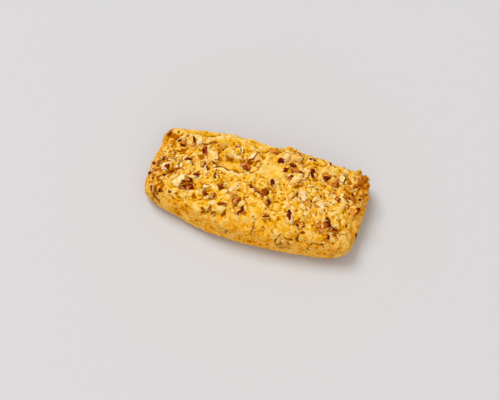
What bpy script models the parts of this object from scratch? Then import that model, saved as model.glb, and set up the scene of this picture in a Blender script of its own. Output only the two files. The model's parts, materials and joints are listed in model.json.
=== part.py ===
"""Pecan bar: a golden, hand-shaped dough bar, baked flat on a tray, with chopped pecans in its crust.

Metres, +Z up. +X runs along the bar and -Y is the long side with the smooth crust.
The origin is the middle of the flat base. Tables give millimetres and are turned to metres by MM.
"""
import math
import random

import bmesh
import bpy
from mathutils import Matrix, Vector, noise
from mathutils.bvhtree import BVHTree

MM = 0.001

# Driving dimensions of the dough.
HEIGHT = 22.6 * MM
WAIST = 6.0 * MM             # height of the widest line round the bar, where it spread in the oven
HALF_LENGTH = 55.0 * MM
HALF_WIDTH = 26.0 * MM
LEFT_DROP = 3.0 * MM         # how much lower the crown is at the left end
LEFT_LEVEL = 20 * MM         # how far left of the middle the crown stays level
RIGHT_DROP = 1.0 * MM
RIGHT_LEVEL = 30 * MM

# Outline, read along the bar and across its ends at evenly spaced stations (mm from the middle).
FRONT_HALF_WIDTHS = (19.5, 20.8, 22.3, 25.2, 26.7, 27.0, 26.8, 26.0, 24.8, 23.5, 19.8)
BACK_HALF_WIDTHS = (27.5, 24.3, 24.9, 26.2, 26.5, 25.7, 26.9, 26.0, 25.2, 25.6, 28.5)
LEFT_HALF_LENGTHS = (54.0, 55.3, 55.2, 54.0, 54.5)
RIGHT_HALF_LENGTHS = (55.0, 54.0, 55.2, 54.8, 54.8)

# Roundness: exponents of the outline, of the crown and of the edge that meets the tray.
PLAN_ROUND = 6.0
CROWN_ROUND = 3.0
TRAY_ROUND = 4.0
TRAY_SINK = 1.08             # the lower edge is cut off by the tray just before it closes

# Facets along, across and up the dough.
SLICES = (48, 22, 8)

# Swells and hollows of the crust: x, y, reach along, reach across, turn in degrees, height (mm).
SWELLS = (
    (-11.5, 6.0, 11.0, 4.2, 0, -1.9),     # the long trough behind the middle
    (-10.0, -1.0, 13.0, 2.2, -3, 0.8),    # its torn front lip
    (-13.5, 11.5, 7.0, 2.4, 0, 0.7),      # crumb overhanging its back edge
    (-20.0, 10.0, 4.0, 2.2, -15, -1.2),
    (15.0, 20.5, 6.0, 3.0, 0, 1.0),
    (22.5, 15.0, 4.5, 2.6, 0, -1.0),
    (30.0, 8.0, 9.0, 2.2, 15, -0.7),
    (38.0, -9.5, 6.0, 3.0, 30, 0.6),
    (-41.0, -5.5, 6.0, 3.0, 20, -1.0),
    (-46.0, -14.5, 3.0, 4.5, 10, -1.3),
    (-36.0, 7.5, 8.0, 2.0, 10, -0.6),
    (3.0, -11.0, 9.0, 3.0, 0, 0.4),
    (50.5, 17.5, 5.0, 6.0, 0, 1.0),       # the crumbly back corner
)
CROWN_FROM = 12.0 * MM       # the crown's relief begins at this height and is full a blend higher
CROWN_BLEND = 6.0 * MM
BASE_FLAT = 0.5 * MM         # the base stays flat up to here, and the relief is full a blend higher
BASE_BLEND = 4.0 * MM
UNEVEN_SIZE = 8.0 * MM
UNEVEN = 0.7 * MM
NUBBLE_SIZE = 5.0 * MM
NUBBLE = 1.2 * MM
NUBBLE_MEAN = 0.35           # taken off, so that the lumps leave the bar its size
SIDE_NUBBLE = 0.4            # lumps of the sides, as a share of the crown's

# The largest pecan pieces: x, y, length, width, turn in degrees (mm).
NUTS_ON_CROWN = (
    (-28.5, 8.5, 6.5, 3.2, 108), (-24.0, 6.0, 7.0, 5.0, 145), (-32.5, 13.0, 4.5, 2.5, 88),
    (-29.0, 14.2, 7.0, 3.6, 36), (-21.5, 13.5, 6.0, 3.0, -20), (-37.0, 12.0, 6.5, 4.0, 127),
    (-45.5, -3.0, 6.5, 3.6, 65), (-35.5, 2.5, 4.5, 2.8, 38), (-51.0, -5.5, 3.0, 2.6, 90),
    (-36.0, -10.8, 8.0, 5.6, 42), (-28.5, -6.2, 4.2, 3.0, 40), (-30.8, -9.2, 3.6, 3.0, 70),
    (-29.8, -13.0, 4.2, 3.2, 60), (-33.0, -14.0, 4.6, 3.0, 20), (-26.8, 0.6, 3.6, 2.6, 100),
    (-24.7, -2.5, 5.0, 2.2, 106), (-6.8, 6.3, 5.6, 4.6, -20), (-5.4, 11.7, 5.6, 2.6, 44),
    (-2.5, 12.0, 5.0, 3.2, 100), (-14.0, 15.5, 3.2, 2.4, 100), (-0.6, 7.4, 3.6, 2.6, 100),
    (10.0, 14.7, 7.2, 4.6, 60), (4.5, 18.6, 6.0, 4.0, 37), (15.7, 17.0, 7.2, 5.6, 7),
    (23.6, 19.2, 4.4, 2.6, 10), (12.7, 8.8, 3.2, 2.8, 45), (17.5, 10.2, 5.6, 4.0, -10),
    (23.4, 10.0, 5.0, 2.0, 75), (26.4, 11.5, 5.0, 4.2, 115), (33.1, 12.4, 5.6, 4.6, 50),
    (37.6, 13.8, 3.8, 3.2, 120), (40.3, 14.5, 5.6, 3.0, 95), (37.0, 8.8, 5.0, 3.6, 25),
    (46.9, 11.8, 5.2, 3.6, 30), (18.7, 4.0, 6.6, 3.2, 54), (16.3, 5.4, 3.2, 2.6, 60),
    (9.9, -0.1, 5.2, 4.6, 150), (-0.6, -5.2, 3.8, 2.4, -40), (2.4, -6.7, 4.2, 3.4, 30),
    (6.9, -5.9, 5.2, 4.0, 60), (8.8, -10.0, 5.0, 2.2, 125), (24.3, -2.4, 8.0, 3.6, 106),
    (19.6, -4.4, 4.2, 3.2, 35), (28.2, -5.8, 4.8, 3.6, 100), (34.3, -3.6, 5.6, 3.4, 27),
    (41.4, 1.7, 3.2, 2.6, 50), (50.2, 0.6, 6.4, 5.4, 62), (35.5, -7.2, 4.6, 2.8, 100),
    (35.2, -13.8, 3.4, 2.8, 40), (40.0, -13.6, 4.6, 4.0, 70), (38.0, -16.0, 3.4, 2.8, 60),
    (43.6, -14.4, 5.4, 2.8, 5), (21.9, -15.0, 6.8, 3.8, 112), (28.1, -17.2, 3.6, 3.0, 95),
    (10.3, -17.6, 4.6, 3.0, 10), (-4.0, -18.6, 4.4, 3.8, 20), (-0.9, -17.7, 4.2, 2.6, 120),
    (-11.5, -17.8, 5.0, 2.8, 0), (-5.6, -14.3, 5.0, 2.8, 35), (-8.2, -11.2, 4.4, 2.4, 0),
    (-17.1, -15.1, 4.4, 3.2, 50), (-21.2, -14.5, 4.4, 2.6, -35), (-14.7, -9.4, 3.8, 2.8, 60),
)
# Pieces baked into the long front side: x, height above the tray, length, width, turn.
NUTS_IN_FRONT = (
    (21.5, 12.0, 9.0, 6.0, 0), (28.5, 15.5, 4.6, 3.4, 20), (36.5, 10.5, 5.6, 3.4, 0),
    (6.0, 15.5, 2.6, 4.6, 0), (-7.0, 10.5, 4.0, 3.0, 15),
)
CHUNK_RINGS = ((-0.5, 0.6, 4), (0.1, 1.0, 6), (0.5, 0.6, 4))    # level, spread and corners of each ring
CHUNK_SQUARE = 4             # exponent that squares off a ring
CHUNK_BLUNT = 0.25           # how far a corner may be knocked in, as a share of its reach
CHUNK_SKEW = 0.25            # how far a corner may slide round its ring, as a share of its step
CHUNK_WAVE = 0.1             # how far a corner may leave its ring's level, as a share of the height
NUT_TALL = 0.8               # height of a piece as a share of its width
NUT_PROUD = 0.12             # how far its middle stands above the crust, as a share of its height
NUT_FLUSH = -0.36            # the same for a piece baked into the side
NUT_TILT = 14                # degrees, the most that a piece leans

# The rest of the chop, spread by rule over the crown, the back and the two ends.
SMALL_NUTS = 12
SIDE_NUTS = 7
SMALL_NUT_LENGTH = (2.6 * MM, 3.8 * MM)
SIDE_NUT_LENGTH = (3.8 * MM, 5.6 * MM)
SMALL_NUT_WIDE = (0.6, 0.85)   # width as a share of the length
SIDE_ARC = (-15, 195)        # degrees round the bar: right end, back and left end
SIDE_LEVELS = (6.0 * MM, 15.0 * MM)
SPREAD_TRIES = 14            # places tried for each piece, of which the loneliest is taken
EDGE_CLEAR = 0.9             # the crown's pieces stay inside this share of the cube's top face

# Groups of dough crumbs: middle (x, y, height above the tray), spread each way (mm), count.
CRUMB_GROUPS = (
    ((51.0, 17.0, 14.0), (3.0, 7.0, 4.0), 10),      # the crumbly back corner
    ((-52.0, -12.0, 9.0), (2.0, 7.0, 4.0), 4),      # the left end
    ((15.5, 23.0, 17.0), (7.0, 1.5, 1.5), 3),       # the top of the back edge
)
CRUMB_SIZE = (3.0 * MM, 4.6 * MM)
CRUMB_WIDE = 0.85            # width and height of a crumb as shares of its length
CRUMB_TALL = 0.8


def clear_scene():
    for thing in list(bpy.data.objects):
        bpy.data.objects.remove(thing, do_unlink=True)


def smooth_value(values, share):
    """The value at a share (0 to 1) of the way along evenly spaced stations, on a smooth curve."""
    place = min(max(share, 0.0), 1.0) * (len(values) - 1)
    index = min(int(place), len(values) - 2)
    t = place - index
    before = values[max(index - 1, 0)]
    start, end = values[index], values[index + 1]
    after = values[min(index + 2, len(values) - 1)]
    slope_in, slope_out = (end - before) / 2, (after - start) / 2
    return (
        (2 * t**3 - 3 * t**2 + 1) * start
        + (t**3 - 2 * t**2 + t) * slope_in
        + (3 * t**2 - 2 * t**3) * end
        + (t**3 - t**2) * slope_out
    )


def ramp(value, start, length):
    """0 up to the start, 1 past the length, and straight between."""
    return min(max((value - start) / length, 0.0), 1.0)


def crown_height(x):
    left = ramp(-x, LEFT_LEVEL, HALF_LENGTH - LEFT_LEVEL)
    right = ramp(x, RIGHT_LEVEL, HALF_LENGTH - RIGHT_LEVEL)
    return HEIGHT - LEFT_DROP * left**2 - RIGHT_DROP * right**2


def loaf_point(a, b, c):
    """A point of the smooth bar, for a point (a, b, c) on the surface of a cube from -1 to 1."""
    around = (abs(a) ** PLAN_ROUND + abs(b) ** PLAN_ROUND) ** (1 / PLAN_ROUND)
    power = CROWN_ROUND if c >= 0 else TRAY_ROUND
    reach = (around**power + abs(c) ** power) ** (1 / power)
    a, b, c = a / reach, b / reach, c / reach
    across = (b + 1) / 2
    half_length = smooth_value(RIGHT_HALF_LENGTHS if a > 0 else LEFT_HALF_LENGTHS, across) * MM
    x = a * half_length
    along = (x / HALF_LENGTH + 1) / 2
    y = b * smooth_value(BACK_HALF_WIDTHS if b > 0 else FRONT_HALF_WIDTHS, along) * MM
    if c > 0:
        return Vector((x, y, WAIST + c * (crown_height(x) - WAIST)))
    return Vector((x, y, max(WAIST * (1 + TRAY_SINK * c), 0.0)))


def swell_height(x, y):
    """The sum of the named swells: each is a flat-topped bell over a turned oval."""
    total = 0.0
    for middle_x, middle_y, along, across, turn, height in SWELLS:
        offset = Matrix.Rotation(math.radians(-turn), 2) @ Vector((x / MM - middle_x, y / MM - middle_y))
        reach = math.hypot(offset.x / along, offset.y / across)
        total += height * MM * math.exp(-(reach**3))
    return total


def relief(point):
    """How far the crust stands out of the smooth bar: swells on the crown, lumps everywhere."""
    on_crown = ramp(point.z, CROWN_FROM, CROWN_BLEND)
    uneven = noise.fractal(point / UNEVEN_SIZE, 1.0, 2.0, 2) * UNEVEN
    nearest, second = noise.voronoi(point / NUBBLE_SIZE)[0][:2]
    lumps = (second - nearest - NUBBLE_MEAN) * NUBBLE * (SIDE_NUBBLE + (1 - SIDE_NUBBLE) * on_crown)
    swells = on_crown * swell_height(point.x, point.y)
    return ramp(point.z, BASE_FLAT, BASE_BLEND) * (uneven + lumps + swells)


def make_dough():
    """A box cut into slices, pulled to the bar's rounded form, with the relief along its normals."""
    bm = bmesh.new()
    bmesh.ops.create_cube(bm, size=2.0)
    for axis, count in enumerate(SLICES):
        normal = Vector((0, 0, 0))
        normal[axis] = 1.0
        for k in range(1, count):
            everything = bm.verts[:] + bm.edges[:] + bm.faces[:]
            cut = normal * (2 * k / count - 1)
            bmesh.ops.bisect_plane(bm, geom=everything, plane_co=cut, plane_no=normal)
    for vert in bm.verts:
        vert.co = loaf_point(*vert.co)
    bm.normal_update()
    lifts = [vert.normal * relief(vert.co) for vert in bm.verts]
    for vert, lift in zip(bm.verts, lifts):
        vert.co += lift
    base = [face for face in bm.faces if max(vert.co.z for vert in face.verts) == 0.0]
    bmesh.ops.dissolve_faces(bm, faces=base, use_verts=True)
    bmesh.ops.recalc_face_normals(bm, faces=bm.faces[:])
    return bm


def chopped_chunk(rng, length, width, height):
    """A chopped chunk about its own middle: three uneven rings of corners, wrapped in their hull."""
    bm = bmesh.new()
    for level, spread, corners in CHUNK_RINGS:
        start = rng.uniform(0, math.tau)
        for k in range(corners):
            angle = start + math.tau * (k + rng.uniform(-CHUNK_SKEW, CHUNK_SKEW)) / corners
            along, across = math.cos(angle), math.sin(angle)
            square = (abs(along) ** CHUNK_SQUARE + abs(across) ** CHUNK_SQUARE) ** (1 / CHUNK_SQUARE)
            reach = spread * rng.uniform(1 - CHUNK_BLUNT, 1) / square / 2
            rise = level + rng.uniform(-CHUNK_WAVE, CHUNK_WAVE)
            bm.verts.new((along * length * reach, across * width * reach, height * rise))
    hull = bmesh.ops.convex_hull(bm, input=bm.verts[:])
    spare = [item for item in hull["geom_interior"] if isinstance(item, bmesh.types.BMVert)]
    bmesh.ops.delete(bm, geom=spare, context="VERTS")
    bmesh.ops.recalc_face_normals(bm, faces=bm.faces[:])
    return bm


def lay_chunk(toppings, name, rng, seat, turn, size, proud):
    """Lay a chunk on its seat, a spot of the crust and the way out of it, turned about that way."""
    spot, outward = seat
    stand = outward.to_track_quat("Z", "Y").to_matrix().to_4x4()
    own_angle = math.atan2(stand[1][0], stand[0][0])
    level = Matrix.Rotation(turn - own_angle, 4, "Z")
    lean_x = Matrix.Rotation(math.radians(rng.uniform(-NUT_TILT, NUT_TILT)), 4, "X")
    lean_y = Matrix.Rotation(math.radians(rng.uniform(-NUT_TILT, NUT_TILT)), 4, "Y")
    length, width, height = size
    bm = chopped_chunk(rng, length, width, height)
    bm.transform(Matrix.Translation(spot + outward * height * proud) @ stand @ level @ lean_x @ lean_y)
    mesh = bpy.data.meshes.new(name)
    bm.to_mesh(mesh)
    bm.free()
    toppings.objects.link(bpy.data.objects.new(name, mesh))


def crown_seat(crust, x, y):
    """The crust straight under (x, y); the way out leans halfway from its normal to upright."""
    up = Vector((0, 0, 1))
    spot, normal, _, _ = crust.ray_cast(Vector((x, y, 2 * HEIGHT)), -up)
    return spot, (normal + up).normalized()


def side_seat(crust, start, inward):
    spot, normal, _, _ = crust.ray_cast(start, inward)
    return spot, normal


def lonely_places():
    """Places for the small chop: each is the loneliest of a few random ones on the crown."""
    rng = random.Random(41)
    taken = [Vector((x, y)) * MM for x, y, *_ in NUTS_ON_CROWN]
    for _ in range(SMALL_NUTS):
        tries = [
            loaf_point(rng.uniform(-EDGE_CLEAR, EDGE_CLEAR), rng.uniform(-EDGE_CLEAR, EDGE_CLEAR), 1.0)
            for _ in range(SPREAD_TRIES)
        ]
        taken.append(max((place.xy for place in tries), key=lambda p: min((p - q).length for q in taken)))
    return taken[-SMALL_NUTS:]


def add_nuts(toppings, crust):
    for number, (x, y, length, width, turn) in enumerate(NUTS_ON_CROWN):
        rng = random.Random(100 + number)
        seat = crown_seat(crust, x * MM, y * MM)
        size = Vector((length, width, width * NUT_TALL)) * MM
        lay_chunk(toppings, f"nut_{number}", rng, seat, math.radians(turn), size, NUT_PROUD)

    for number, (x, z, length, width, turn) in enumerate(NUTS_IN_FRONT):
        rng = random.Random(300 + number)
        seat = side_seat(crust, Vector((x * MM, -2 * HALF_WIDTH, z * MM)), Vector((0, 1, 0)))
        size = Vector((length, width, width * NUT_TALL)) * MM
        lay_chunk(toppings, f"front_nut_{number}", rng, seat, math.radians(turn), size, NUT_FLUSH)

    for number, (x, y) in enumerate(lonely_places()):
        rng = random.Random(500 + number)
        length = rng.uniform(*SMALL_NUT_LENGTH)
        width = length * rng.uniform(*SMALL_NUT_WIDE)
        size = (length, width, width * NUT_TALL)
        seat = crown_seat(crust, x, y)
        lay_chunk(toppings, f"small_nut_{number}", rng, seat, rng.uniform(0, math.pi), size, NUT_PROUD)

    arc_start, arc_end = SIDE_ARC
    for number in range(SIDE_NUTS):
        rng = random.Random(700 + number)
        angle = math.radians(arc_start + (arc_end - arc_start) * (number + rng.random()) / SIDE_NUTS)
        outward = Vector((math.cos(angle), math.sin(angle), 0))
        start = outward * 2 * HALF_LENGTH + Vector((0, 0, rng.uniform(*SIDE_LEVELS)))
        length = rng.uniform(*SIDE_NUT_LENGTH)
        width = length * rng.uniform(*SMALL_NUT_WIDE)
        size = (length, width, width * NUT_TALL)
        seat = side_seat(crust, start, -outward)
        lay_chunk(toppings, f"side_nut_{number}", rng, seat, rng.uniform(0, math.pi), size, NUT_FLUSH)


def add_crumbs(toppings, crust):
    for group, (middle, spread, count) in enumerate(CRUMB_GROUPS):
        for number in range(count):
            rng = random.Random(900 + 50 * group + number)
            wish = Vector([m + rng.uniform(-s, s) for m, s in zip(middle, spread)]) * MM
            seat = crust.find_nearest(wish)[:2]
            length = rng.uniform(*CRUMB_SIZE)
            size = (length, length * CRUMB_WIDE, length * CRUMB_TALL)
            lay_chunk(toppings, f"crumb_{group}_{number}", rng, seat, rng.uniform(0, math.pi), size, 0.0)


def keep_largest_body(mesh):
    """Drop scraps and the walls of sealed hollows, which are bodies of their own after the union."""
    bm = bmesh.new()
    bm.from_mesh(mesh)
    left = set(bm.faces)
    bodies = []
    while left:
        queue = [left.pop()]
        body = set(queue)
        while queue:
            for edge in queue.pop().edges:
                for face in edge.link_faces:
                    if face in left:
                        left.discard(face)
                        body.add(face)
                        queue.append(face)
        bodies.append(body)
    bodies.sort(key=len)
    spare = [face for body in bodies[:-1] for face in body]
    bmesh.ops.delete(bm, geom=spare, context="FACES")
    bm.to_mesh(mesh)
    bm.free()


def crust_material():
    material = bpy.data.materials.new("golden_crust")
    material.use_nodes = True
    shader = material.node_tree.nodes["Principled BSDF"]
    shader.inputs["Base Color"].default_value = (0.75, 0.38, 0.07, 1.0)
    shader.inputs["Roughness"].default_value = 0.75
    shader.inputs["Metallic"].default_value = 0.0
    return material


def make_bar():
    dough = make_dough()
    crust = BVHTree.FromBMesh(dough)
    mesh = bpy.data.meshes.new("pecan_bar")
    dough.to_mesh(mesh)
    dough.free()
    bar = bpy.data.objects.new("pecan_bar", mesh)
    bpy.context.scene.collection.objects.link(bar)

    toppings = bpy.data.collections.new("toppings")
    bpy.context.scene.collection.children.link(toppings)
    add_nuts(toppings, crust)
    add_crumbs(toppings, crust)

    join = bar.modifiers.new("join", "BOOLEAN")
    join.operation = "UNION"
    join.operand_type = "COLLECTION"
    join.collection = toppings
    join.solver = "EXACT"
    bpy.context.view_layer.objects.active = bar
    bpy.ops.object.modifier_apply(modifier=join.name)
    for chunk in list(toppings.objects):
        bpy.data.objects.remove(chunk, do_unlink=True)
    bpy.data.collections.remove(toppings)

    keep_largest_body(bar.data)
    bar.data.materials.clear()
    bar.data.materials.append(crust_material())
    bar.data.shade_smooth()
    bar.data.set_sharp_from_angle(angle=math.radians(35))
    return bar


clear_scene()
make_bar()
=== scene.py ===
import json
import math
import random

import bmesh
import bpy
import numpy as np
from mathutils import Matrix, Vector, noise
from mathutils.bvhtree import BVHTree

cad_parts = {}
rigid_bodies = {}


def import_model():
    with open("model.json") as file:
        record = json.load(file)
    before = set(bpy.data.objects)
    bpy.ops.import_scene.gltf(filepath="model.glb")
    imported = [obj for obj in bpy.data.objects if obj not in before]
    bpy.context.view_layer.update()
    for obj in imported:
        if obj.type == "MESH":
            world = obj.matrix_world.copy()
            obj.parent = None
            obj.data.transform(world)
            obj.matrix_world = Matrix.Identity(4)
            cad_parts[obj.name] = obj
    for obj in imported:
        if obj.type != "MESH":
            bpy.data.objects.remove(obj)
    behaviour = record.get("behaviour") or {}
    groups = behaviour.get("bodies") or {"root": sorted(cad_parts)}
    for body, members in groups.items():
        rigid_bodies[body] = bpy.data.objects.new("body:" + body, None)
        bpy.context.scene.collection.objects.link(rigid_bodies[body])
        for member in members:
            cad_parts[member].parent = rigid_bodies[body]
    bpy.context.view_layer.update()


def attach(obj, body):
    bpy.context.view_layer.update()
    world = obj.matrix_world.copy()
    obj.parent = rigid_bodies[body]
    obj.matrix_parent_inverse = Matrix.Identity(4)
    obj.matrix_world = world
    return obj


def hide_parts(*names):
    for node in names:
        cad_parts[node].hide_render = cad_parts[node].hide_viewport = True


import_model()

scene = bpy.context.scene
MM = 0.001

# --- Camera ---
# An 85 mm lens looks down at 62 degrees on the long side with the smooth crust. The bar lies turned in the
# picture by the camera's own angle round it.
AZIMUTH, ELEVATION, DISTANCE = math.radians(16.7), math.radians(62.0), 590.3 * MM
# The point it looks at (mm), and how far that lies right of and above the middle of the picture (mm).
AIM, AIM_RIGHT, AIM_UP = (1.0, -0.5, 10.0), 3.6, 3.95


def add_object(name, data):
    """An object that puts a mesh, a lamp or a camera in the scene."""
    made = bpy.data.objects.new(name, data)
    scene.collection.objects.link(made)
    return made


back = Vector((
    math.sin(AZIMUTH) * math.cos(ELEVATION),
    -math.cos(AZIMUTH) * math.cos(ELEVATION),
    math.sin(ELEVATION),
))
right = (-back).cross(Vector((0, 0, 1))).normalized()
up = back.cross(right)
aim = Vector(AIM) * MM - right * AIM_RIGHT * MM - up * AIM_UP * MM
lens = bpy.data.cameras.new("camera")
lens.lens = 85.0
lens.sensor_width = 36.0
lens.clip_start = 0.01
camera = add_object("camera", lens)
facing = Matrix((right, up, back)).transposed().to_4x4()
camera.matrix_world = Matrix.Translation(aim + back * DISTANCE) @ facing
scene.camera = camera
scene.view_settings.view_transform = "Standard"

# --- The dough ---
# A hand-shaped bar of golden maize dough, baked flat on a tray. Its crown tore open into a fluffy, lumpy
# crumb, while the shoulder at the back and the long front side kept a smooth, finely pored skin.
HEIGHT, WAIST = 22.6 * MM, 6.0 * MM
HALF_LENGTH, HALF_WIDTH = 55.0 * MM, 26.0 * MM
# How far the crown falls off towards each end, and how far from the middle that starts.
LEFT_DROP, LEFT_LEVEL, RIGHT_DROP, RIGHT_LEVEL = 3.0 * MM, 20 * MM, 1.0 * MM, 30 * MM
# The plan's half sizes (mm) at evenly spaced stations: left to right for the widths, front to back for the
# lengths.
FRONT_HALF_WIDTHS = (19.5, 20.8, 22.3, 25.2, 26.7, 26.8, 26.5, 25.8, 24.8, 23.8, 21.0)
BACK_HALF_WIDTHS = (27.5, 24.3, 24.9, 26.2, 26.5, 25.7, 26.9, 26.0, 25.2, 25.6, 28.5)
LEFT_HALF_LENGTHS = (54.0, 55.3, 55.2, 54.0, 54.5)
RIGHT_HALF_LENGTHS = (55.0, 54.0, 55.2, 54.8, 54.8)
# How square the bar is on plan and in its upper and lower halves, and how far its rounded foot would run on
# below the tray.
PLAN_ROUND, CROWN_ROUND, TRAY_ROUND, TRAY_SINK = 6.0, 3.0, 4.0, 1.08

# Swells and hollows of the crust: x, y, reach along, reach across, turn in degrees, height (mm).
SWELLS = (
    (-13.5, 11.5, 7, 2.4, 0, 0.7), (-20, 10, 4, 2.2, -15, -1.2), (15, 20.5, 6, 3, 0, 1),
    (22.5, 15, 4.5, 2.6, 0, -1), (30, 8, 9, 2.2, 15, -0.7), (38, -9.5, 6, 3, 30, 0.6),
    (-41, -5.5, 6, 3, 20, -1), (-46, -14.5, 3, 4.5, 10, -1.3), (-36, 7.5, 8, 2, 10, -0.6),
    (3, -11, 9, 3, 0, 0.4), (50.5, 17.5, 5, 6, 0, 1),
)
# The trough that tore open along the crown (mm): where its front lip runs, where that starts to curve back
# and how much, the lip's rise, its crest's distance from the edge, and its width; then the trough itself and
# its two walls.
LIP_LEVEL, LIP_START, LIP_CURVE = 0.9, -10.0, 0.035
LIP_RISE, LIP_CREST, LIP_WIDTH = 0.9, 1.3, 1.2
TROUGH_WIDTH, TROUGH_MIDDLE, TROUGH_HALF, TROUGH_DEPTH = 7.2, -12.0, 11.0, 2.4
FRONT_WALL, BACK_WALL = 0.8, 1.6
# Where the crust stayed smooth: the floor of the trough and the flat right of it.
CALM_PLACES = ((-11.5, 4.4, 10.0, 3.4, 6, 1.0), (7.5, 6.5, 5.5, 6.0, 0, 0.8))
# The long front side, smooth and golden up to the edge of the crown, in the same terms.
FRONT_FACE = ((6.0, -27.0, 38.0, 9.0, 0, 1.0), (36.0, -23.0, 14.0, 6.5, 5, 0.6))
# Hollows of the crust, in the same terms, as depths; the crumb in them is also painted amber, a painted
# shade.
SHADED_HOLLOWS = (
    (-41.3, -4.8, 6, 1.7, 32, 1), (-47.2, -15.1, 4.5, 1, 87, 0.6), (21.3, 2.5, 3.2, 1.3, 35, 0.9),
    (25.4, -16.2, 2.6, 0.9, 50, 0.5), (-48, 14.9, 2.6, 1.4, 137, 0.8), (41, 13.9, 2, 1.3, 83, 0.9),
    (-29.3, 5, 1.7, 1.2, 27, 0.9), (-9.8, -21, 2.2, 0.9, 65, 0.8), (2.4, 18.8, 2, 1.2, 54, 0.9),
    (-44.1, 5.8, 1.9, 0.8, 12, 0.8), (38.2, 13.7, 1.4, 1.1, 127, 0.9), (22.7, -2.9, 2, 0.9, 116, 0.9),
    (20.5, 9.5, 1.3, 1.1, 0, 0.8), (-40, 7.1, 2.3, 0.8, 31, 0.8), (9.4, -12.2, 2, 0.8, 154, 0.6),
    (-20.7, -23.1, 1.5, 0.8, 170, 0.7), (-31, -11.6, 3.6, 2.4, 20, 0.7), (46, 10.5, 1.5, 1, 140, 0.8),
    (34.5, -14, 1.6, 0.8, 40, 0.5), (-26.4, -16.5, 1.1, 1.2, 107, 0.7),
)
# Narrow cracks in the crust, in the same terms.
CRACKS = (
    (2.5, 2, 4, 0.5, -10, -0.8), (-1, -3, 9, 0.4, 0, -0.6), (11, -9.5, 5, 0.5, 10, -0.8),
    (-24.5, -18, 3, 0.5, 10, -0.7), (-44, 3, 5, 0.7, 38, -0.9), (-40.5, -6, 4, 0.9, 50, -1.2),
    (26, 7.5, 6, 0.6, 20, -0.6), (20, -13, 5, 0.6, 25, -0.7), (42, -8.5, 5, 0.6, 60, -0.8),
)
# Seams and hollows of the long front side: x, height above the tray, and then as above.
FRONT_SEAMS = (
    (-45.5, 10, 3, 0.7, -67, -0.8), (-47.5, 11.5, 2.6, 0.9, -50, -0.9), (-42, 4, 2.2, 0.7, -60, -0.8),
    (-19, 17.8, 1.8, 0.6, 20, -0.8), (-16.6, 19.2, 1.2, 0.5, -30, -0.8), (-14.5, 18.2, 0.9, 0.8, 0, -0.8),
    (-8, 12, 2.2, 0.5, 0, -0.8), (-5.5, 11, 1.2, 0.5, -30, -0.7), (5.6, 16.5, 2, 0.5, 75, -0.8),
    (17.9, 12.6, 1.9, 0.5, 80, -1.1), (18.9, 16.2, 1.3, 0.5, 45, -1.1), (22.2, 15.4, 1.6, 0.5, -15, -1),
    (25, 15.1, 1.5, 0.6, 0, -1.2), (27.9, 15.6, 1.3, 0.8, -25, -1.8), (29.6, 18.6, 1.5, 0.6, 5, -1.4),
    (27.9, 17, 1, 0.5, 80, -1), (20.4, 7.6, 1.8, 0.5, -15, -0.9), (24.2, 8.6, 1.3, 0.6, 20, -0.9),
    (34.8, 14.3, 1.6, 0.6, 50, -1.1), (37.9, 15.1, 1.4, 0.5, 0, -1.1), (40.2, 14.9, 0.9, 0.8, 0, -1.4),
)
# Single lumps of dough that stand out of it, in the same terms.
LUMPS = (
    (-38.6, 14.2, 1.6, 2.6, 0, 1.1), (-29.7, 14.6, 3.4, 1.6, 0, 0.9), (-19.3, 8.6, 1.9, 1.7, 0, 1.3),
    (-14.8, 10, 2.4, 1.8, 10, 1.4), (-11.5, 14.7, 1.2, 2.2, 0, 0.8), (-5.4, 17, 2, 1.4, 0, 0.8),
    (-48.1, 13.8, 2, 1.4, 20, 0.9), (-50.2, 7, 1.5, 1.2, 0, 0.8), (-46, 6.2, 4, 1.5, 40, 1),
    (-16.1, -17.9, 2, 1.4, 17, 1.1), (-11.3, -19.4, 3, 1.8, 0, 1), (-29, -15.5, 1.8, 1.2, 40, 0.9),
    (-22.8, -11.9, 3.6, 1.1, 35, 0.8), (-9, -8.7, 2, 1.4, 0, 0.7), (18.5, -10.1, 2.2, 1.7, 30, 1),
    (35, -6.8, 2, 1.6, 0, 0.8), (42.9, -4.1, 1.8, 1.6, 0, 0.9), (48.9, 10.6, 3, 2, 60, 1.2),
    (39.2, -0.4, 1.6, 1.4, 0, 0.8), (30.9, 4.9, 1.7, 1.3, 0, 0.8), (23.2, -3.5, 2, 1.5, 0, 0.8),
    (44.4, -0.4, 1.5, 1.3, 0, 0.8), (-43.7, 12.9, 5, 1.5, 61, 0.8), (42.6, 6.4, 3.2, 2.3, 3, 0.9),
    (27, -12, 3.2, 2.3, 157, 0.8), (17.3, -14.8, 2.7, 1.7, 32, 0.9), (37.1, -10.4, 3.6, 1.7, 140, 0.8),
    (11.9, -15, 2, 1, 169, 0.9), (39.3, 10.8, 2.7, 1, 164, 0.8), (-51.5, 7.8, 3.2, 1, 83, 0.7),
    (-50.2, 13.1, 2.1, 0.9, 60, 0.8), (-37.3, -17.4, 1.5, 1, 25, 0.8), (-40.9, -17.3, 1.9, 1, 139, 0.8),
    (-6.8, -7.8, 1.5, 0.9, 3, 0.8), (-30.5, -21.2, 1.1, 0.9, 86, 0.8), (-18.7, -24.4, 1.1, 0.9, 0, 0.7),
    (-3.9, -6.9, 2.9, 1.6, 94, 0.8), (32.7, -10.1, 2.2, 1, 109, 0.8), (35, 3.4, 1.9, 1, 22, 0.8),
)
# Corners that came out squarer than the smooth bar, in the same terms.
CORNERS = ((-51.0, 18.5, 5.0, 4.5, 0, 1.2), (49.5, -18.0, 5.0, 4.5, 0, 1.0), (-49.0, -15.0, 4.0, 4.0, 0, 0.6))
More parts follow.
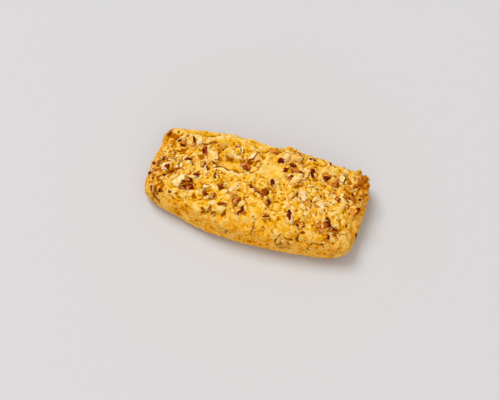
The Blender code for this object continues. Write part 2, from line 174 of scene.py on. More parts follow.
# Where the crumb is torn open (plus) or stayed smooth (minus), in the same terms, on top of CROWN_TORN.
CROWN_TORN = 0.5
TORN_PLACES = (
    (-9, -3, 13, 3, -3, 0.4), (-12, 5, 9, 3.4, 0, -0.7), (7.5, 6, 6.5, 7.5, 0, -0.8),
    (-15, 19.5, 34, 5, -2, -0.8), (30, 20, 18, 3, 0, -0.5), (-38, -1, 12, 9, 0, 0.6),
    (31, 0, 19, 11, 0, 0.15), (5, -22, 34, 5, 0, -0.9), (50.5, 17, 5, 7, 0, 1), (-31, -19.5, 14, 4, 10, 0.1),
    (50, -12, 5, 9, 0, -0.2), (-6, -12, 16, 6, 0, 0.15), (0, 29, 60, 7, 0, -1), (-48, -9, 7, 14, 0, 0.8),
    (-29, 11, 9, 4, 20, 0.4), (13, 15, 12, 3.5, 0, 0.4),
)
# Where the oven browned it most, in the same terms.
TOAST_PLACES = (
    (50.5, 17.5, 5, 8, 0, 0.9), (-50, -12, 6.5, 9, 0, 0.6), (-51, 19, 3, 5, 0, 0.9),
    (-50, 6, 6.5, 12, 0, 0.5), (54, -2, 4, 18, 0, 0.25), (-37, 15, 7, 4, 20, 0.3), (47, -17, 7, 6, 0, 0.6),
    (33, -20.5, 14, 3.5, 0, 0.35), (49, 8, 6, 7, 0, 0.25), (44, 3, 9, 12, 0, 0.15), (30, -27, 20, 3, 0, 0.2),
    (25, 20, 16, 3, -4, 0.3),
)
# Far-apart places in the noise, one for each axis in which points are pushed about.
AXIS_SHIFTS = (12.9, 44.3, 71.7)


def smooth_values(values, share):
    """The values at shares (0 to 1) of the way along evenly spaced stations, on a smooth curve."""
    values = np.array(values)
    place = np.clip(share, 0.0, 1.0) * (len(values) - 1)
    index = np.minimum(place.astype(int), len(values) - 2)
    t = place - index
    start, end = values[index], values[index + 1]
    slope_in = (end - values[np.maximum(index - 1, 0)]) / 2
    slope_out = (values[np.minimum(index + 2, len(values) - 1)] - start) / 2
    return (
        (2 * t**3 - 3 * t**2 + 1) * start + (t**3 - 2 * t**2 + t) * slope_in
        + (3 * t**2 - 2 * t**3) * end + (t**3 - t**2) * slope_out
    )


def loaf_points(cube):
    """Points of the smooth bar, for points on the surface of a cube from -1 to 1."""
    a, b, c = cube.T
    around = (abs(a) ** PLAN_ROUND + abs(b) ** PLAN_ROUND) ** (1 / PLAN_ROUND)
    power = np.where(c >= 0, CROWN_ROUND, TRAY_ROUND)
    reach = (around**power + abs(c) ** power) ** (1 / power)
    a, b, c = a / reach, b / reach, c / reach
    across = (b + 1) / 2
    left, right = smooth_values(LEFT_HALF_LENGTHS, across), smooth_values(RIGHT_HALF_LENGTHS, across)
    x = a * np.where(a > 0, right, left) * MM
    along = (x / HALF_LENGTH + 1) / 2
    front, rear = smooth_values(FRONT_HALF_WIDTHS, along), smooth_values(BACK_HALF_WIDTHS, along)
    y = b * np.where(b > 0, rear, front) * MM
    left_drop = LEFT_DROP * np.clip((-x - LEFT_LEVEL) / (HALF_LENGTH - LEFT_LEVEL), 0, 1) ** 2
    right_drop = RIGHT_DROP * np.clip((x - RIGHT_LEVEL) / (HALF_LENGTH - RIGHT_LEVEL), 0, 1) ** 2
    crown = HEIGHT - left_drop - right_drop
    z = np.where(c > 0, WAIST + c * (crown - WAIST), np.maximum(WAIST * (1 + TRAY_SINK * c), 0))
    return np.stack((x, y, z), axis=1)


def box_lattice(counts):
    """The surface of a box in squares: its corner places (i, j, k), and four of them for each square."""
    squares = []
    for axis in range(3):
        u, v = (axis + 1) % 3, (axis + 2) % 3
        i, j = np.meshgrid(np.arange(counts[u]), np.arange(counts[v]), indexing="ij")
        for side in (0, counts[axis]):
            ring = ((0, 0), (1, 0), (1, 1), (0, 1)) if side else ((0, 0), (0, 1), (1, 1), (1, 0))
            corners = np.zeros(i.shape + (4, 3), int)
            for n, (step_u, step_v) in enumerate(ring):
                corners[..., n, axis] = side
                corners[..., n, u] = i + step_u
                corners[..., n, v] = j + step_v
            squares.append(corners.reshape(-1, 4, 3))
    places, index = np.unique(np.concatenate(squares).reshape(-1, 3), axis=0, return_inverse=True)
    return places, index.reshape(-1, 4)


def even_ticks(count, last, power, across, upward):
    """Cube coordinates from 0 to the last that come out evenly spaced along the bar's rounded edge."""
    c = np.linspace(0, last, 400)
    reach = (1 + c**power) ** (1 / power)
    step = np.hypot(np.diff(across / reach), np.diff(upward * c / reach))
    return np.interp(np.linspace(0, 1, count + 1), np.concatenate(((0,), np.cumsum(step))) / step.sum(), c)


def ovals(points, rows):
    """The sum of named ovals on plan: each is a flat-topped bell."""
    total = np.zeros(len(points))
    for middle_x, middle_y, along, across, turn, height in rows:
        turn = math.radians(turn)
        x, y = points[:, 0] / MM - middle_x, points[:, 1] / MM - middle_y
        u, v = x * math.cos(turn) + y * math.sin(turn), y * math.cos(turn) - x * math.sin(turn)
        total += height * np.exp(-np.hypot(u / along, v / across) ** 3)
    return total


def warped(points, size, amount):
    """The points, pushed about by soft noise of that size: one part of the noise for each axis."""
    pushes = [[noise.noise(p) for p in (points / size + shift).tolist()] for shift in AXIS_SHIFTS]
    return points + np.array(pushes).T * amount


def fractal(points, size, octaves=2):
    return np.array([noise.fractal(p, 1.0, 2.0, octaves) for p in (points / size).tolist()])


def cells(points, size):
    """How far the two nearest cell middles are from each point, and a number from 0 to 1 for each of them."""
    found = [noise.voronoi(p) for p in (points / size).tolist()]
    near = np.array([distances[:2] for distances, _ in found])
    middles = np.array([[tuple(m) for m in spots[:2]] for _, spots in found])
    own = np.modf(np.abs(np.sin(middles @ (12.99, 78.23, 37.72)) * 43758.5))[0]
    return near[:, 0], near[:, 1], own[:, 0], own[:, 1]


def lumps(points, size):
    """Rounded lumps of uneven height with creases between them, from about 0 to 1."""
    first, second, own, other = cells(points, size)
    ratio = first / np.maximum(second, 1e-6)
    return 0.6 * (1 - ratio**2) + 0.4 * (own + (other - own) * 0.5 * ratio**6)


def ramp(value, start, length):
    return np.clip((value - start) / length, 0, 1)


def height_over_blur(points, outward, squares, rounds):
    """How far each corner of the skin of squares stands out of its blurred surroundings."""
    edges = np.concatenate([squares[:, (k, (k + 1) % 4)] for k in range(4)])
    count = np.bincount(edges[:, 0], minlength=len(points)) + np.bincount(edges[:, 1], minlength=len(points))
    blurred = points.copy()
    for _ in range(rounds):
        for axis in range(3):
            sums = np.bincount(edges[:, 0], blurred[edges[:, 1], axis], len(points))
            sums += np.bincount(edges[:, 1], blurred[edges[:, 0], axis], len(points))
            blurred[:, axis] = sums / np.maximum(count, 1)
    return ((points - blurred) * outward).sum(axis=1)


def set_attribute(mesh, name, values, domain="POINT"):
    mesh.attributes.new(name, "FLOAT", domain).data.foreach_set("value", np.asarray(values, np.float32))


def crown_ticks(count):
    """Cube coordinates from -1 to 1 that come out evenly spaced across the crown."""
    u = np.linspace(-1, 1, count + 1) * 0.5 ** (1 / CROWN_ROUND)
    return u / (1 - abs(u) ** CROWN_ROUND) ** (1 / CROWN_ROUND)


# The skin is cut into squares of about 0.4 mm: so many along, across, up the sides and down the foot. The
# sides run on under the bar, past the cube's lower edge, down to where they meet the tray.
LONG_SQUARES, CROSS_SQUARES, SIDE_SQUARES, FOOT_SQUARES = 300, 142, 46, 15
meets_tray = TRAY_SINK ** -TRAY_ROUND
lowest = (meets_tray / (1 - meets_tray)) ** (1 / TRAY_ROUND)
side = even_ticks(SIDE_SQUARES, 1.0, CROWN_ROUND, 8.0, (HEIGHT - WAIST) / MM)
foot = even_ticks(FOOT_SQUARES, lowest, TRAY_ROUND, 6.0, WAIST / MM)
ticks = (crown_ticks(LONG_SQUARES), crown_ticks(CROSS_SQUARES), np.concatenate((-foot[:0:-1], side)))
places, squares = box_lattice([len(t) - 1 for t in ticks])
smooth = loaf_points(np.stack([ticks[axis][places[:, axis]] for axis in range(3)], axis=1))
flat = (smooth[squares, 2] < 1e-9).all(axis=1)
squares = squares[~flat]
used, squares = np.unique(squares, return_inverse=True)
squares, smooth = squares.reshape(-1, 4), smooth[used]

mesh = bpy.data.meshes.new("dough")
mesh.from_pydata(smooth.tolist(), [], squares.tolist())
outward = np.zeros(len(smooth) * 3)
mesh.vertex_normals.foreach_get("vector", outward)
outward = outward.reshape(-1, 3)

# How much each spot belongs to the crown, to the sides above the tray, and to the places named above.
CROWN_EDGE = 12.0 * MM
on_crown = ramp(smooth[:, 2], CROWN_EDGE, 6.0 * MM)
off_base = ramp(smooth[:, 2], 1.0 * MM, 4.0 * MM)
at_left = ramp(-smooth[:, 0], 38 * MM, 10 * MM)
bent = warped(smooth, 3.0 * MM, 1.3 * MM)
calm = 1 - 0.7 * ovals(smooth, CALM_PLACES)
front_face = np.minimum(ovals(smooth, FRONT_FACE), 1)
tearing = ovals(smooth, TORN_PLACES) * np.maximum(0.3 + 0.7 * on_crown, at_left)
torn = np.clip(CROWN_TORN * on_crown + tearing, 0, 1)
torn *= ramp(fractal(smooth, 5.5 * MM), -0.3, 0.3)
toast = np.clip(0.12 * on_crown + ovals(smooth, TOAST_PLACES), 0, 1)
bake = np.maximum(1 - ramp(smooth[:, 2], CROWN_EDGE, 9.5 * MM), 0.6 * front_face)
uneven = np.clip(0.7 + 0.8 * fractal(smooth, 2.5 * MM), 0, 1)

# The broad form, in millimetres: soft swells and shallow cells, the named swells, and the trough with its
# lip.
first, second, _, _ = cells(smooth, 5.0 * MM)
form = fractal(smooth, 8.0 * MM) * (0.7 + 0.7 * on_crown)
form += (second - first - 0.35) * 1.2 * (0.4 + 0.6 * on_crown)
swells = on_crown * ovals(smooth, SWELLS)
lip = LIP_LEVEL + LIP_CURVE * np.maximum(bent[:, 0] / MM - LIP_START, 0) ** 2
behind = bent[:, 1] / MM - lip
within = on_crown * np.exp(-((smooth[:, 0] / MM - TROUGH_MIDDLE) / TROUGH_HALF) ** 6)
swells += within * LIP_RISE * np.exp(-((behind + LIP_CREST) / LIP_WIDTH) ** 2)
front_wall, back_wall = ramp(behind, -0.3, FRONT_WALL), ramp(TROUGH_WIDTH - behind, -0.8, BACK_WALL)
swells -= within * TROUGH_DEPTH * front_wall * back_wall
# Painted shade for the colour: along the foot of the trough's back wall, and in a line on its floor just
# behind the lip, where that line is also carved a little.
shade = within * 0.5 * np.exp(-((TROUGH_WIDTH + 0.1 - behind) / 0.8) ** 2)
crevice_and_shade = within * np.exp(-((behind - 1.2) / 0.8) ** 2)
shaded_hollows = ovals(bent, SHADED_HOLLOWS)
stand_out = on_crown * ovals(bent, LUMPS) + ovals(smooth, CORNERS)

# The fine form, in millimetres: crumb where the crust is torn, a softer skin elsewhere, pores, cracks and
# seams.
LUMP_SIZES = (4.2, 2.2, 1.3)
PORE_CELL, PORE_SHARE, PORE_DEPTH, SEAM_DEPTH, MOST_RISE = 3.0, 0.3, 0.6, 0.7, 1.9
coarse, middling, fine = (lumps(bent, size * MM) - 0.5 for size in LUMP_SIZES)
crag = fractal(smooth, 1.3 * MM, 3)
soft, tufts = fractal(smooth, 4.5 * MM, 3), fractal(bent, 2.6 * MM, 3)
detail = torn * (coarse * 0.7 + middling * 0.35 + tufts * 0.7)
detail = detail + (1 - 0.5 * torn) * soft * (0.35 + 0.35 * on_crown)
detail += crag * (0.26 - 0.1 * on_crown + 0.2 * torn) + fine * 0.1
detail *= 1 - 0.5 * front_face
first, second, own, other = cells(smooth, PORE_CELL * MM)
pore = np.exp(-(first * PORE_CELL / (0.25 + 0.35 * other)) ** 2) * (own < PORE_SHARE)
cracks = on_crown * uneven * ovals(bent, CRACKS)
nearly = smooth + (bent - smooth) * 0.6
seams_and_shade = (0.4 + 0.6 * uneven) * (smooth[:, 1] < -10 * MM) * -ovals(nearly[:, [0, 2]], FRONT_SEAMS)
# The line behind the lip is carved and also painted dark with the seams: a painted shade line.
seams_and_shade += crevice_and_shade * ramp(fractal(smooth, 2.6 * MM), 0.05, 0.3) * 0.8
rise = calm * (form + detail) + swells + stand_out - shaded_hollows
rise = rise - PORE_DEPTH * pore * (1 - 0.5 * torn) + cracks - seams_and_shade * SEAM_DEPTH
points = smooth + outward * (off_base * np.minimum(MOST_RISE, rise))[:, None] * MM
points[:, 2] = np.maximum(points[:, 2], 0)

mesh.vertices.foreach_set("co", points.ravel())
# What the colours and the strewn crumbs follow. The last two are filled in below, when the nuts are in place.
for name, values in {
    "torn": torn, "bake": bake, "toast": toast, "strewn": on_crown * (0.25 + 0.75 * torn),
    "crumbly": off_base * torn**2, "pore": np.zeros(len(points)), "lift": np.zeros(len(points)),
}.items():
    set_attribute(mesh, name, values)
bm = bmesh.new()
bm.from_mesh(mesh)
bmesh.ops.holes_fill(bm, edges=[edge for edge in bm.edges if edge.is_boundary], sides=0)
for face in bm.faces:
    face.smooth = len(face.verts) == 4
bm.to_mesh(mesh)
crust = BVHTree.FromBMesh(bm)
bm.free()
dough = add_object("dough", mesh)


class Wire:
    """A shader socket that can be added, multiplied and so on: each operation becomes a Math node."""

    def __init__(self, tree, socket=None):
        self.tree, self.socket = tree, socket

    def node(self, kind, settings=None, sockets=None, output=0):
        """A node of that type, with its settings made first and then the values or links of its sockets."""
        made = self.tree.nodes.new(kind)
        for name, value in (settings or {}).items():
            if name == "stops":
                ramp_stops = made.color_ramp.elements
                while len(ramp_stops) < len(value):
                    ramp_stops.new(1.0)
                for stop, (place, colour) in zip(ramp_stops, value):
                    stop.position, stop.color = place, (*colour, 1.0)
            else:
                setattr(made, name, value)
        for name, value in (sockets or {}).items():
            place = made.inputs[name] if isinstance(name, int) else next(
                s for s in made.inputs if name in (s.identifier, s.name))
            if isinstance(value, Wire):
                self.tree.links.new(value.socket, place)
            else:
                place.default_value = value
        out = made.outputs[output] if isinstance(output, int) else next(
            s for s in made.outputs if output in (s.identifier, s.name))
        return Wire(self.tree, out)

    def math(self, operation, first, second):
        return self.node("ShaderNodeMath", {"operation": operation}, {0: first, 1: second})

    def __add__(self, other):
        return self.math("ADD", self, other)

    def __sub__(self, other):
        return self.math("SUBTRACT", self, other)

    def __rsub__(self, other):
        return self.math("SUBTRACT", other, self)

    def __mul__(self, other):
        return self.math("MULTIPLY", self, other)

    __radd__, __rmul__ = __add__, __mul__

    def ramp(self, start, end):
        """0 up to the start, 1 past the end, and smooth between."""
        return self.node(
            "ShaderNodeMapRange", {"interpolation_type": "SMOOTHSTEP"},
            {"Value": self, "From Min": start, "From Max": end})

    def mix(self, first, second):
        """The first colour where this is 0, and the second where it is 1."""
        colours = [c if isinstance(c, Wire) else (*c, 1.0) for c in (first, second)]
        return self.node(
            "ShaderNodeMix", {"data_type": "RGBA", "clamp_factor": True},
            {"Factor_Float": self, "A_Color": colours[0], "B_Color": colours[1]}, "Result_Color")


def attribute(wire, name):
    return wire.node("ShaderNodeAttribute", {"attribute_name": name}, {}, "Fac")


def place_mm(wire):
    """Object coordinates in millimetres."""
    coordinates = wire.node("ShaderNodeTexCoord", {}, {}, "Object")
    return wire.node("ShaderNodeMapping", {}, {"Vector": coordinates, "Scale": [1 / MM] * 3})


def noise_at(place, size, detail=2.0):
    """Soft noise with lumps of that size in millimetres."""
    return place.node("ShaderNodeTexNoise", {}, {"Vector": place, "Scale": 1 / size, "Detail": detail})


def new_material(name, subsurface, radius, gloss):
    """A material with its constant sockets set, its Principled shader, and a wire to build the rest with."""
    material = bpy.data.materials.new(name)
    material.use_nodes = True
    tree = material.node_tree
    shader = tree.nodes["Principled BSDF"]
    shader.inputs["Subsurface Weight"].default_value = subsurface
    shader.inputs["Subsurface Scale"].default_value = MM
    shader.inputs["Subsurface Radius"].default_value = radius
    shader.inputs["Specular IOR Level"].default_value = gloss
    return material, shader, Wire(tree)


def link(wire, shader, name):
    wire.tree.links.new(wire.socket, shader.inputs[name])


# The colours of the baked skin and of the crumb, from its hollows to its tips: their dark ends stand in part
# for painted shade and their pale ends in part for a painted highlight. Then toasted spots, specks, and the
# brown of pores, seams and painted contact shade.
AMBER, ORANGE, GOLD = (0.36, 0.09, 0.0), (0.71, 0.245, 0.0), (0.805, 0.358, 0.006)
YELLOW, CRUMB, PALE = (0.81, 0.44, 0.024), (0.82, 0.54, 0.12), (0.865, 0.67, 0.28)
TOPS, HONEY, DUSK = (0.85, 0.455, 0.085), (0.76, 0.385, 0.008), (0.43, 0.14, 0.0)
TOAST, CHAR, PORE_AND_SHADE_BROWN = (0.42, 0.11, 0.002), (0.13, 0.022, 0.0), (0.21, 0.055, 0.001)
SPECKS_PER_MM = 0.55

crust_finish, shader, wire = new_material("baked_dough", 0.1, (0.9, 0.5, 0.2), 0.0)
place = place_mm(wire)
# The relief attribute paints the crumb paler where it stands out and amber in its hollows: a painted
# highlight and painted shade, with some tone that differs at random.
bake_here, torn_here, relief_light_here, toast_here, pores_and_shade_here = [
    attribute(wire, n) for n in ("bake", "torn", "lift", "toast", "pore")]
broad, middling, grain = noise_at(place, 6.0, 1.0), noise_at(place, 2.6, 2.0), noise_at(place, 0.65, 2.0)
skin_colour = wire.node(
    "ShaderNodeValToRGB",
    {"stops": ((0.0, AMBER), (0.25, ORANGE), (0.5, GOLD), (0.8, TOPS), (1.0, CRUMB))},
    {"Fac": 0.59 + relief_light_here * 0.5 + (broad - 0.5) * 1.4 + (middling - 0.5) * 1.2
        + (grain - 0.5) * 2.0}, "Color")
crumb_colour = wire.node(
    "ShaderNodeValToRGB",
    {"stops": ((0.0, DUSK), (0.24, HONEY), (0.42, YELLOW), (0.6, CRUMB), (0.87, PALE))},
    {"Fac": 0.415 + relief_light_here * 0.42 + (broad - 0.5) * 0.8 + (middling - 0.5) * 0.4
        + (grain - 0.5) * (0.6 + torn_here * 1.05) * (middling.ramp(0.42, 0.6) * 0.8 + 0.5)}, "Color")
colour = (bake_here + (broad - 0.5) * 0.5).ramp(0.1, 0.9).mix(crumb_colour, skin_colour)
browned = (toast_here + (middling - 0.5) * 1.2 + (grain - 0.5) * 2.0 - relief_light_here * 0.3).ramp(0.35, 1.0)
colour = browned.mix(colour, TOAST)
# Pores and seams are painted brown, and so are the seam round each nut and the line behind the trough's lip,
# which are painted shade.
colour = (pores_and_shade_here * 0.95).mix(colour, PORE_AND_SHADE_BROWN)
specks, kind = [
    place.node("ShaderNodeTexVoronoi", {"feature": "F1"}, {"Vector": place, "Scale": SPECKS_PER_MM}, output)
    for output in ("Distance", "Color")]
lot = wire.node("ShaderNodeSeparateColor", {}, {"Color": kind}, "Red")
few = (toast_here * 0.6 + torn_here * 0.06 + 0.08 - lot).ramp(-0.02, 0.02)
colour = ((1 - specks.ramp(0.14, 0.26)) * few).mix(colour, CHAR)
link(colour, shader, "Base Color")
link(0.7 + (grain - 0.5) * 0.4, shader, "Roughness")
bumps = noise_at(place, 0.55, 3.0)
relief = wire.node("ShaderNodeBump", {}, {"Strength": 0.8, "Distance": 0.3 * MM, "Height": bumps})
link(relief, shader, "Normal")
mesh.materials.append(crust_finish)
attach(dough, "root")
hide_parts("pecan_bar")

# --- Chopped pecans ---
# Coarsely chopped nuts, pressed into the dough and baked with it. Each is a broken chunk of matte cream flesh
# that still carries part of its thin, glossy, red-brown skin.
NUT_TALL, NUT_TILT, NUT_TOP = 0.8, 22, 25.2 * MM
# How far the middle of a piece stands out of the crust, as a share of its height: bare, skinned, and baked
# in.
NUT_BARE, NUT_PROUD, NUT_FLUSH = 0.3, 0.12, -0.36
# From what cover on a piece counts as skinned all over, and how much less it then gets.
SKINNED, SKINNED_LESS = 0.8, 0.35
# The skin's usual tone, the length past which a piece is cut from a finer ball, and how low a piece may
# reach.
SKIN_LEVEL, SMALL_NUT, NUT_BOTTOM = 0.2, 2.9 * MM, 0.1 * MM
# How a piece swells, ridges and tapers. Where it breaks through skin and through flesh, as shares of its
# reach.
SWELL, RIDGE, TAPER = 0.22, 0.16, 0.4
SKIN_BREAKS, FLESH_BREAKS = (0.62, 0.86), (0.55, 0.85)
# Its breaks, round the sides and on top: how many, how unevenly spaced, and between which rises (radians).
# Then how much the tone changes from break to break.
BREAK_RINGS, BREAK_CHANGE = ((4, 0.25, (-0.2, 0.4)), (3, 0.3, (0.6, 1.2))), 0.32
# The longest edge that a piece keeps, the size and height (mm) of its roughness, and the sharpest rounded
# fold.
LONGEST_EDGE, ROUGH_SIZE, ROUGH_HEIGHT, SOFT_FOLD = 0.5 * MM, 0.9 * MM, 0.17, math.radians(28)
# The pieces that nobody sees in back and ends: how many, round which part of the bar (degrees), and between
# which heights, lengths (mm) and shares of width to length.
SIDE_NUTS, SIDE_START, SIDE_SWEEP = 7, -15, 210
SIDE_HEIGHTS, SIDE_LENGTHS, SIDE_WIDTHS = (6.0, 15.0), (3.8, 5.6), (0.6, 0.85)
# The first random seed of the pieces on the crown, in the front side, in the back and ends, and of the
# slivers.
CROWN_SEED, FRONT_SEED, SIDE_SEED, SLIVER_SEED = 100, 300, 700, 1300

# The larger pieces in the crown: x, y, length, width, turn; then the flesh from 0 (cream) to 1 (roasted),
# which way the skin faces round the bar and upwards in degrees, and the share of the piece that it covers.
NUTS_ON_CROWN = (
    (-28.5, 8.5, 6.5, 3.2, 108, 0.9, 197, 45, 0.55), (-24, 6, 7, 4.8, 145, 0.25, 290, -10, 0.12),
    (-33, 13, 5.4, 3, 88, 0, 0, 0, 0), (-28.4, 14.2, 6.4, 3.4, 36, 0.35, 0, 0, 0),
    (-21.5, 13.5, 6, 3, -20, 0.6, 0, -90, 0.55), (-37, 12, 6.5, 4, 127, 0.35, 17, 10, 0.1),
    (-45.5, -3, 6.5, 3.6, 65, 0.12, -28, 10, 0.3), (-35.5, 2.5, 4.5, 2.8, 38, 0.9, 242, 30, 0.7),
    (-51, -5.5, 3, 2.6, 90, 0.8, 0, 90, 1), (-36, -10.8, 7.6, 5.4, 42, 0.2, -28, -5, 0.2),
    (-28.5, -6.2, 4.2, 3, 40, 0.8, 0, 90, 0.9), (-30.8, -9.2, 3.6, 3, 70, 0.8, 0, 90, 0.85),
    (-29.8, -13, 4.2, 3.2, 60, 0.97, 0, 90, 0.85), (-33, -14, 4.4, 2.6, 20, 0.9, 200, 60, 0.5),
    (-26.8, 0.6, 3.6, 2.6, 100, 0.95, 0, 90, 0.8), (-24.7, -2.5, 5, 2.2, 106, 0.05, 17, 0, 0.3),
    (-6.8, 6.4, 6.4, 4.2, -15, 0.97, 200, 60, 0.8), (-5.4, 11.7, 5.6, 2.6, 44, 0.2, 290, 0, 0.3),
    (-2.5, 12, 5, 3.2, 100, 0.4, 0, -90, 0.6), (-14, 15.5, 3.2, 2.4, 100, 0.97, 197, 40, 0.9),
    (-0.6, 7.4, 3.6, 2.6, 100, 0.4, 0, 0, 0.1), (10, 14.7, 7.2, 4.6, 60, 0.35, 242, 5, 0.3),
    (4.5, 18.6, 6, 4, 37, 0.5, 0, -90, 0.6), (15.7, 17, 7.2, 5.6, 7, 0.35, 107, 20, 0.25),
    (23.6, 19.2, 4.6, 1.8, 10, 0.85, 0, 90, 0.6), (12.7, 8.8, 3.2, 2.8, 45, 0.8, 0, 90, 1),
    (17.5, 10.2, 5, 3.4, -10, 0.6, 197, 40, 0.33), (23.4, 10, 5, 2, 75, 0.3, 17, 0, 0.2),
    (26.4, 11.5, 4.8, 3.8, 115, 0.55, 200, 30, 0.36), (33.1, 12.4, 5.2, 4.2, 50, 0.75, 290, 20, 0.25),
    (37.6, 13.8, 3.8, 3.2, 120, 0.6, 0, -90, 0.6), (40.3, 14.5, 5.6, 3, 95, 0.1, 17, 10, 0.45),
    (37, 8.8, 5, 3.6, 25, 0.55, 17, 5, 0.3), (46.9, 11.8, 5.2, 3, 30, 0.8, 17, 40, 0.25),
    (18.7, 4, 6.6, 3.2, 54, 0.1, 17, -10, 0.12), (16.3, 5.4, 3.2, 2.6, 60, 0.8, 0, 90, 0.8),
    (9.9, -0.1, 5.2, 4.6, 150, 0.15, 222, -15, 0.4), (-0.6, -5.2, 3.8, 2.4, -40, 0.8, 0, 90, 0.9),
    (2.4, -6.7, 4.2, 3.4, 30, 0.95, 197, 40, 0.6), (6.9, -5.9, 5.2, 4, 60, 0.5, 0, 70, 0.85),
    (8.8, -10, 5, 2.2, 125, 0.8, 0, 90, 0.85), (24.3, -2.4, 8, 3.6, 106, 0.3, 0, -90, 0.5),
    (19.6, -4.4, 4.2, 3.2, 35, 0.5, 0, -90, 0.5), (28.2, -5.8, 4.8, 3.6, 100, 0.6, 0, -90, 0.45),
    (34.3, -3.6, 5.6, 3.4, 27, 0.2, 0, -90, 0.5), (41.4, 1.7, 3.2, 2.6, 50, 0.8, 0, 90, 0.8),
    (50.2, 0.6, 6.6, 4.8, 62, 0.45, -25, 0, 0.33), (35.5, -7.2, 4.6, 2.8, 100, 0.15, 0, 0, 0.1),
    (35.2, -13.8, 3.4, 2.8, 40, 0.5, 0, 0, 0.15), (40, -13.6, 4.6, 4, 70, 0.85, 0, 90, 1),
    (38, -16, 3.4, 2.8, 60, 0.95, 197, 50, 0.6), (43.6, -14.4, 5.4, 2.8, 5, 0.6, 17, 20, 0.4),
    (21.9, -15, 6.8, 3.8, 112, 0.2, 107, 30, 0.4), (28.1, -17.2, 3.6, 3, 95, 0.5, 0, 0, 0.15),
    (10.3, -17.6, 4.6, 3, 10, 0.4, 17, 20, 0.4), (-4, -18.6, 4.4, 3.8, 20, 0.4, 0, 0, 0.1),
    (-0.9, -17.7, 4.2, 2.6, 120, 0.8, 0, 90, 0.9), (-11.5, -17.8, 5.4, 2, 0, 0.8, 0, 90, 0.85),
    (-5.6, -14.3, 5, 2.8, 35, 1, 197, 70, 0.85), (-8.2, -11.2, 4.4, 2.4, 0, 0.55, 0, -90, 0.5),
    (-17.1, -15.1, 4.6, 2.3, 50, 0.8, 0, 90, 1), (-21.2, -14.5, 4.2, 2.2, -35, 0.85, 0, 90, 0.95),
    (-14.7, -9.4, 3.8, 2.8, 60, 0.8, 197, 60, 0.8),
)
# Pieces baked into the long front side: x, height above the tray, length, width, turn; then the same looks.
NUTS_IN_FRONT = (
    (20.9, 11.4, 8.5, 5.4, 0, 0, 107, 10, 0.1), (27.5, 14.8, 3.6, 2.6, 20, 0.5, 107, 30, 0.3),
    (35.6, 10.8, 5, 3.4, 0, 0.4, 107, 20, 0.2), (6, 15.5, 2.6, 4.6, 0, 0.3, 17, 20, 0.3),
    (-7, 10.5, 4, 3, 15, 0.4, 197, 30, 0.4),
)
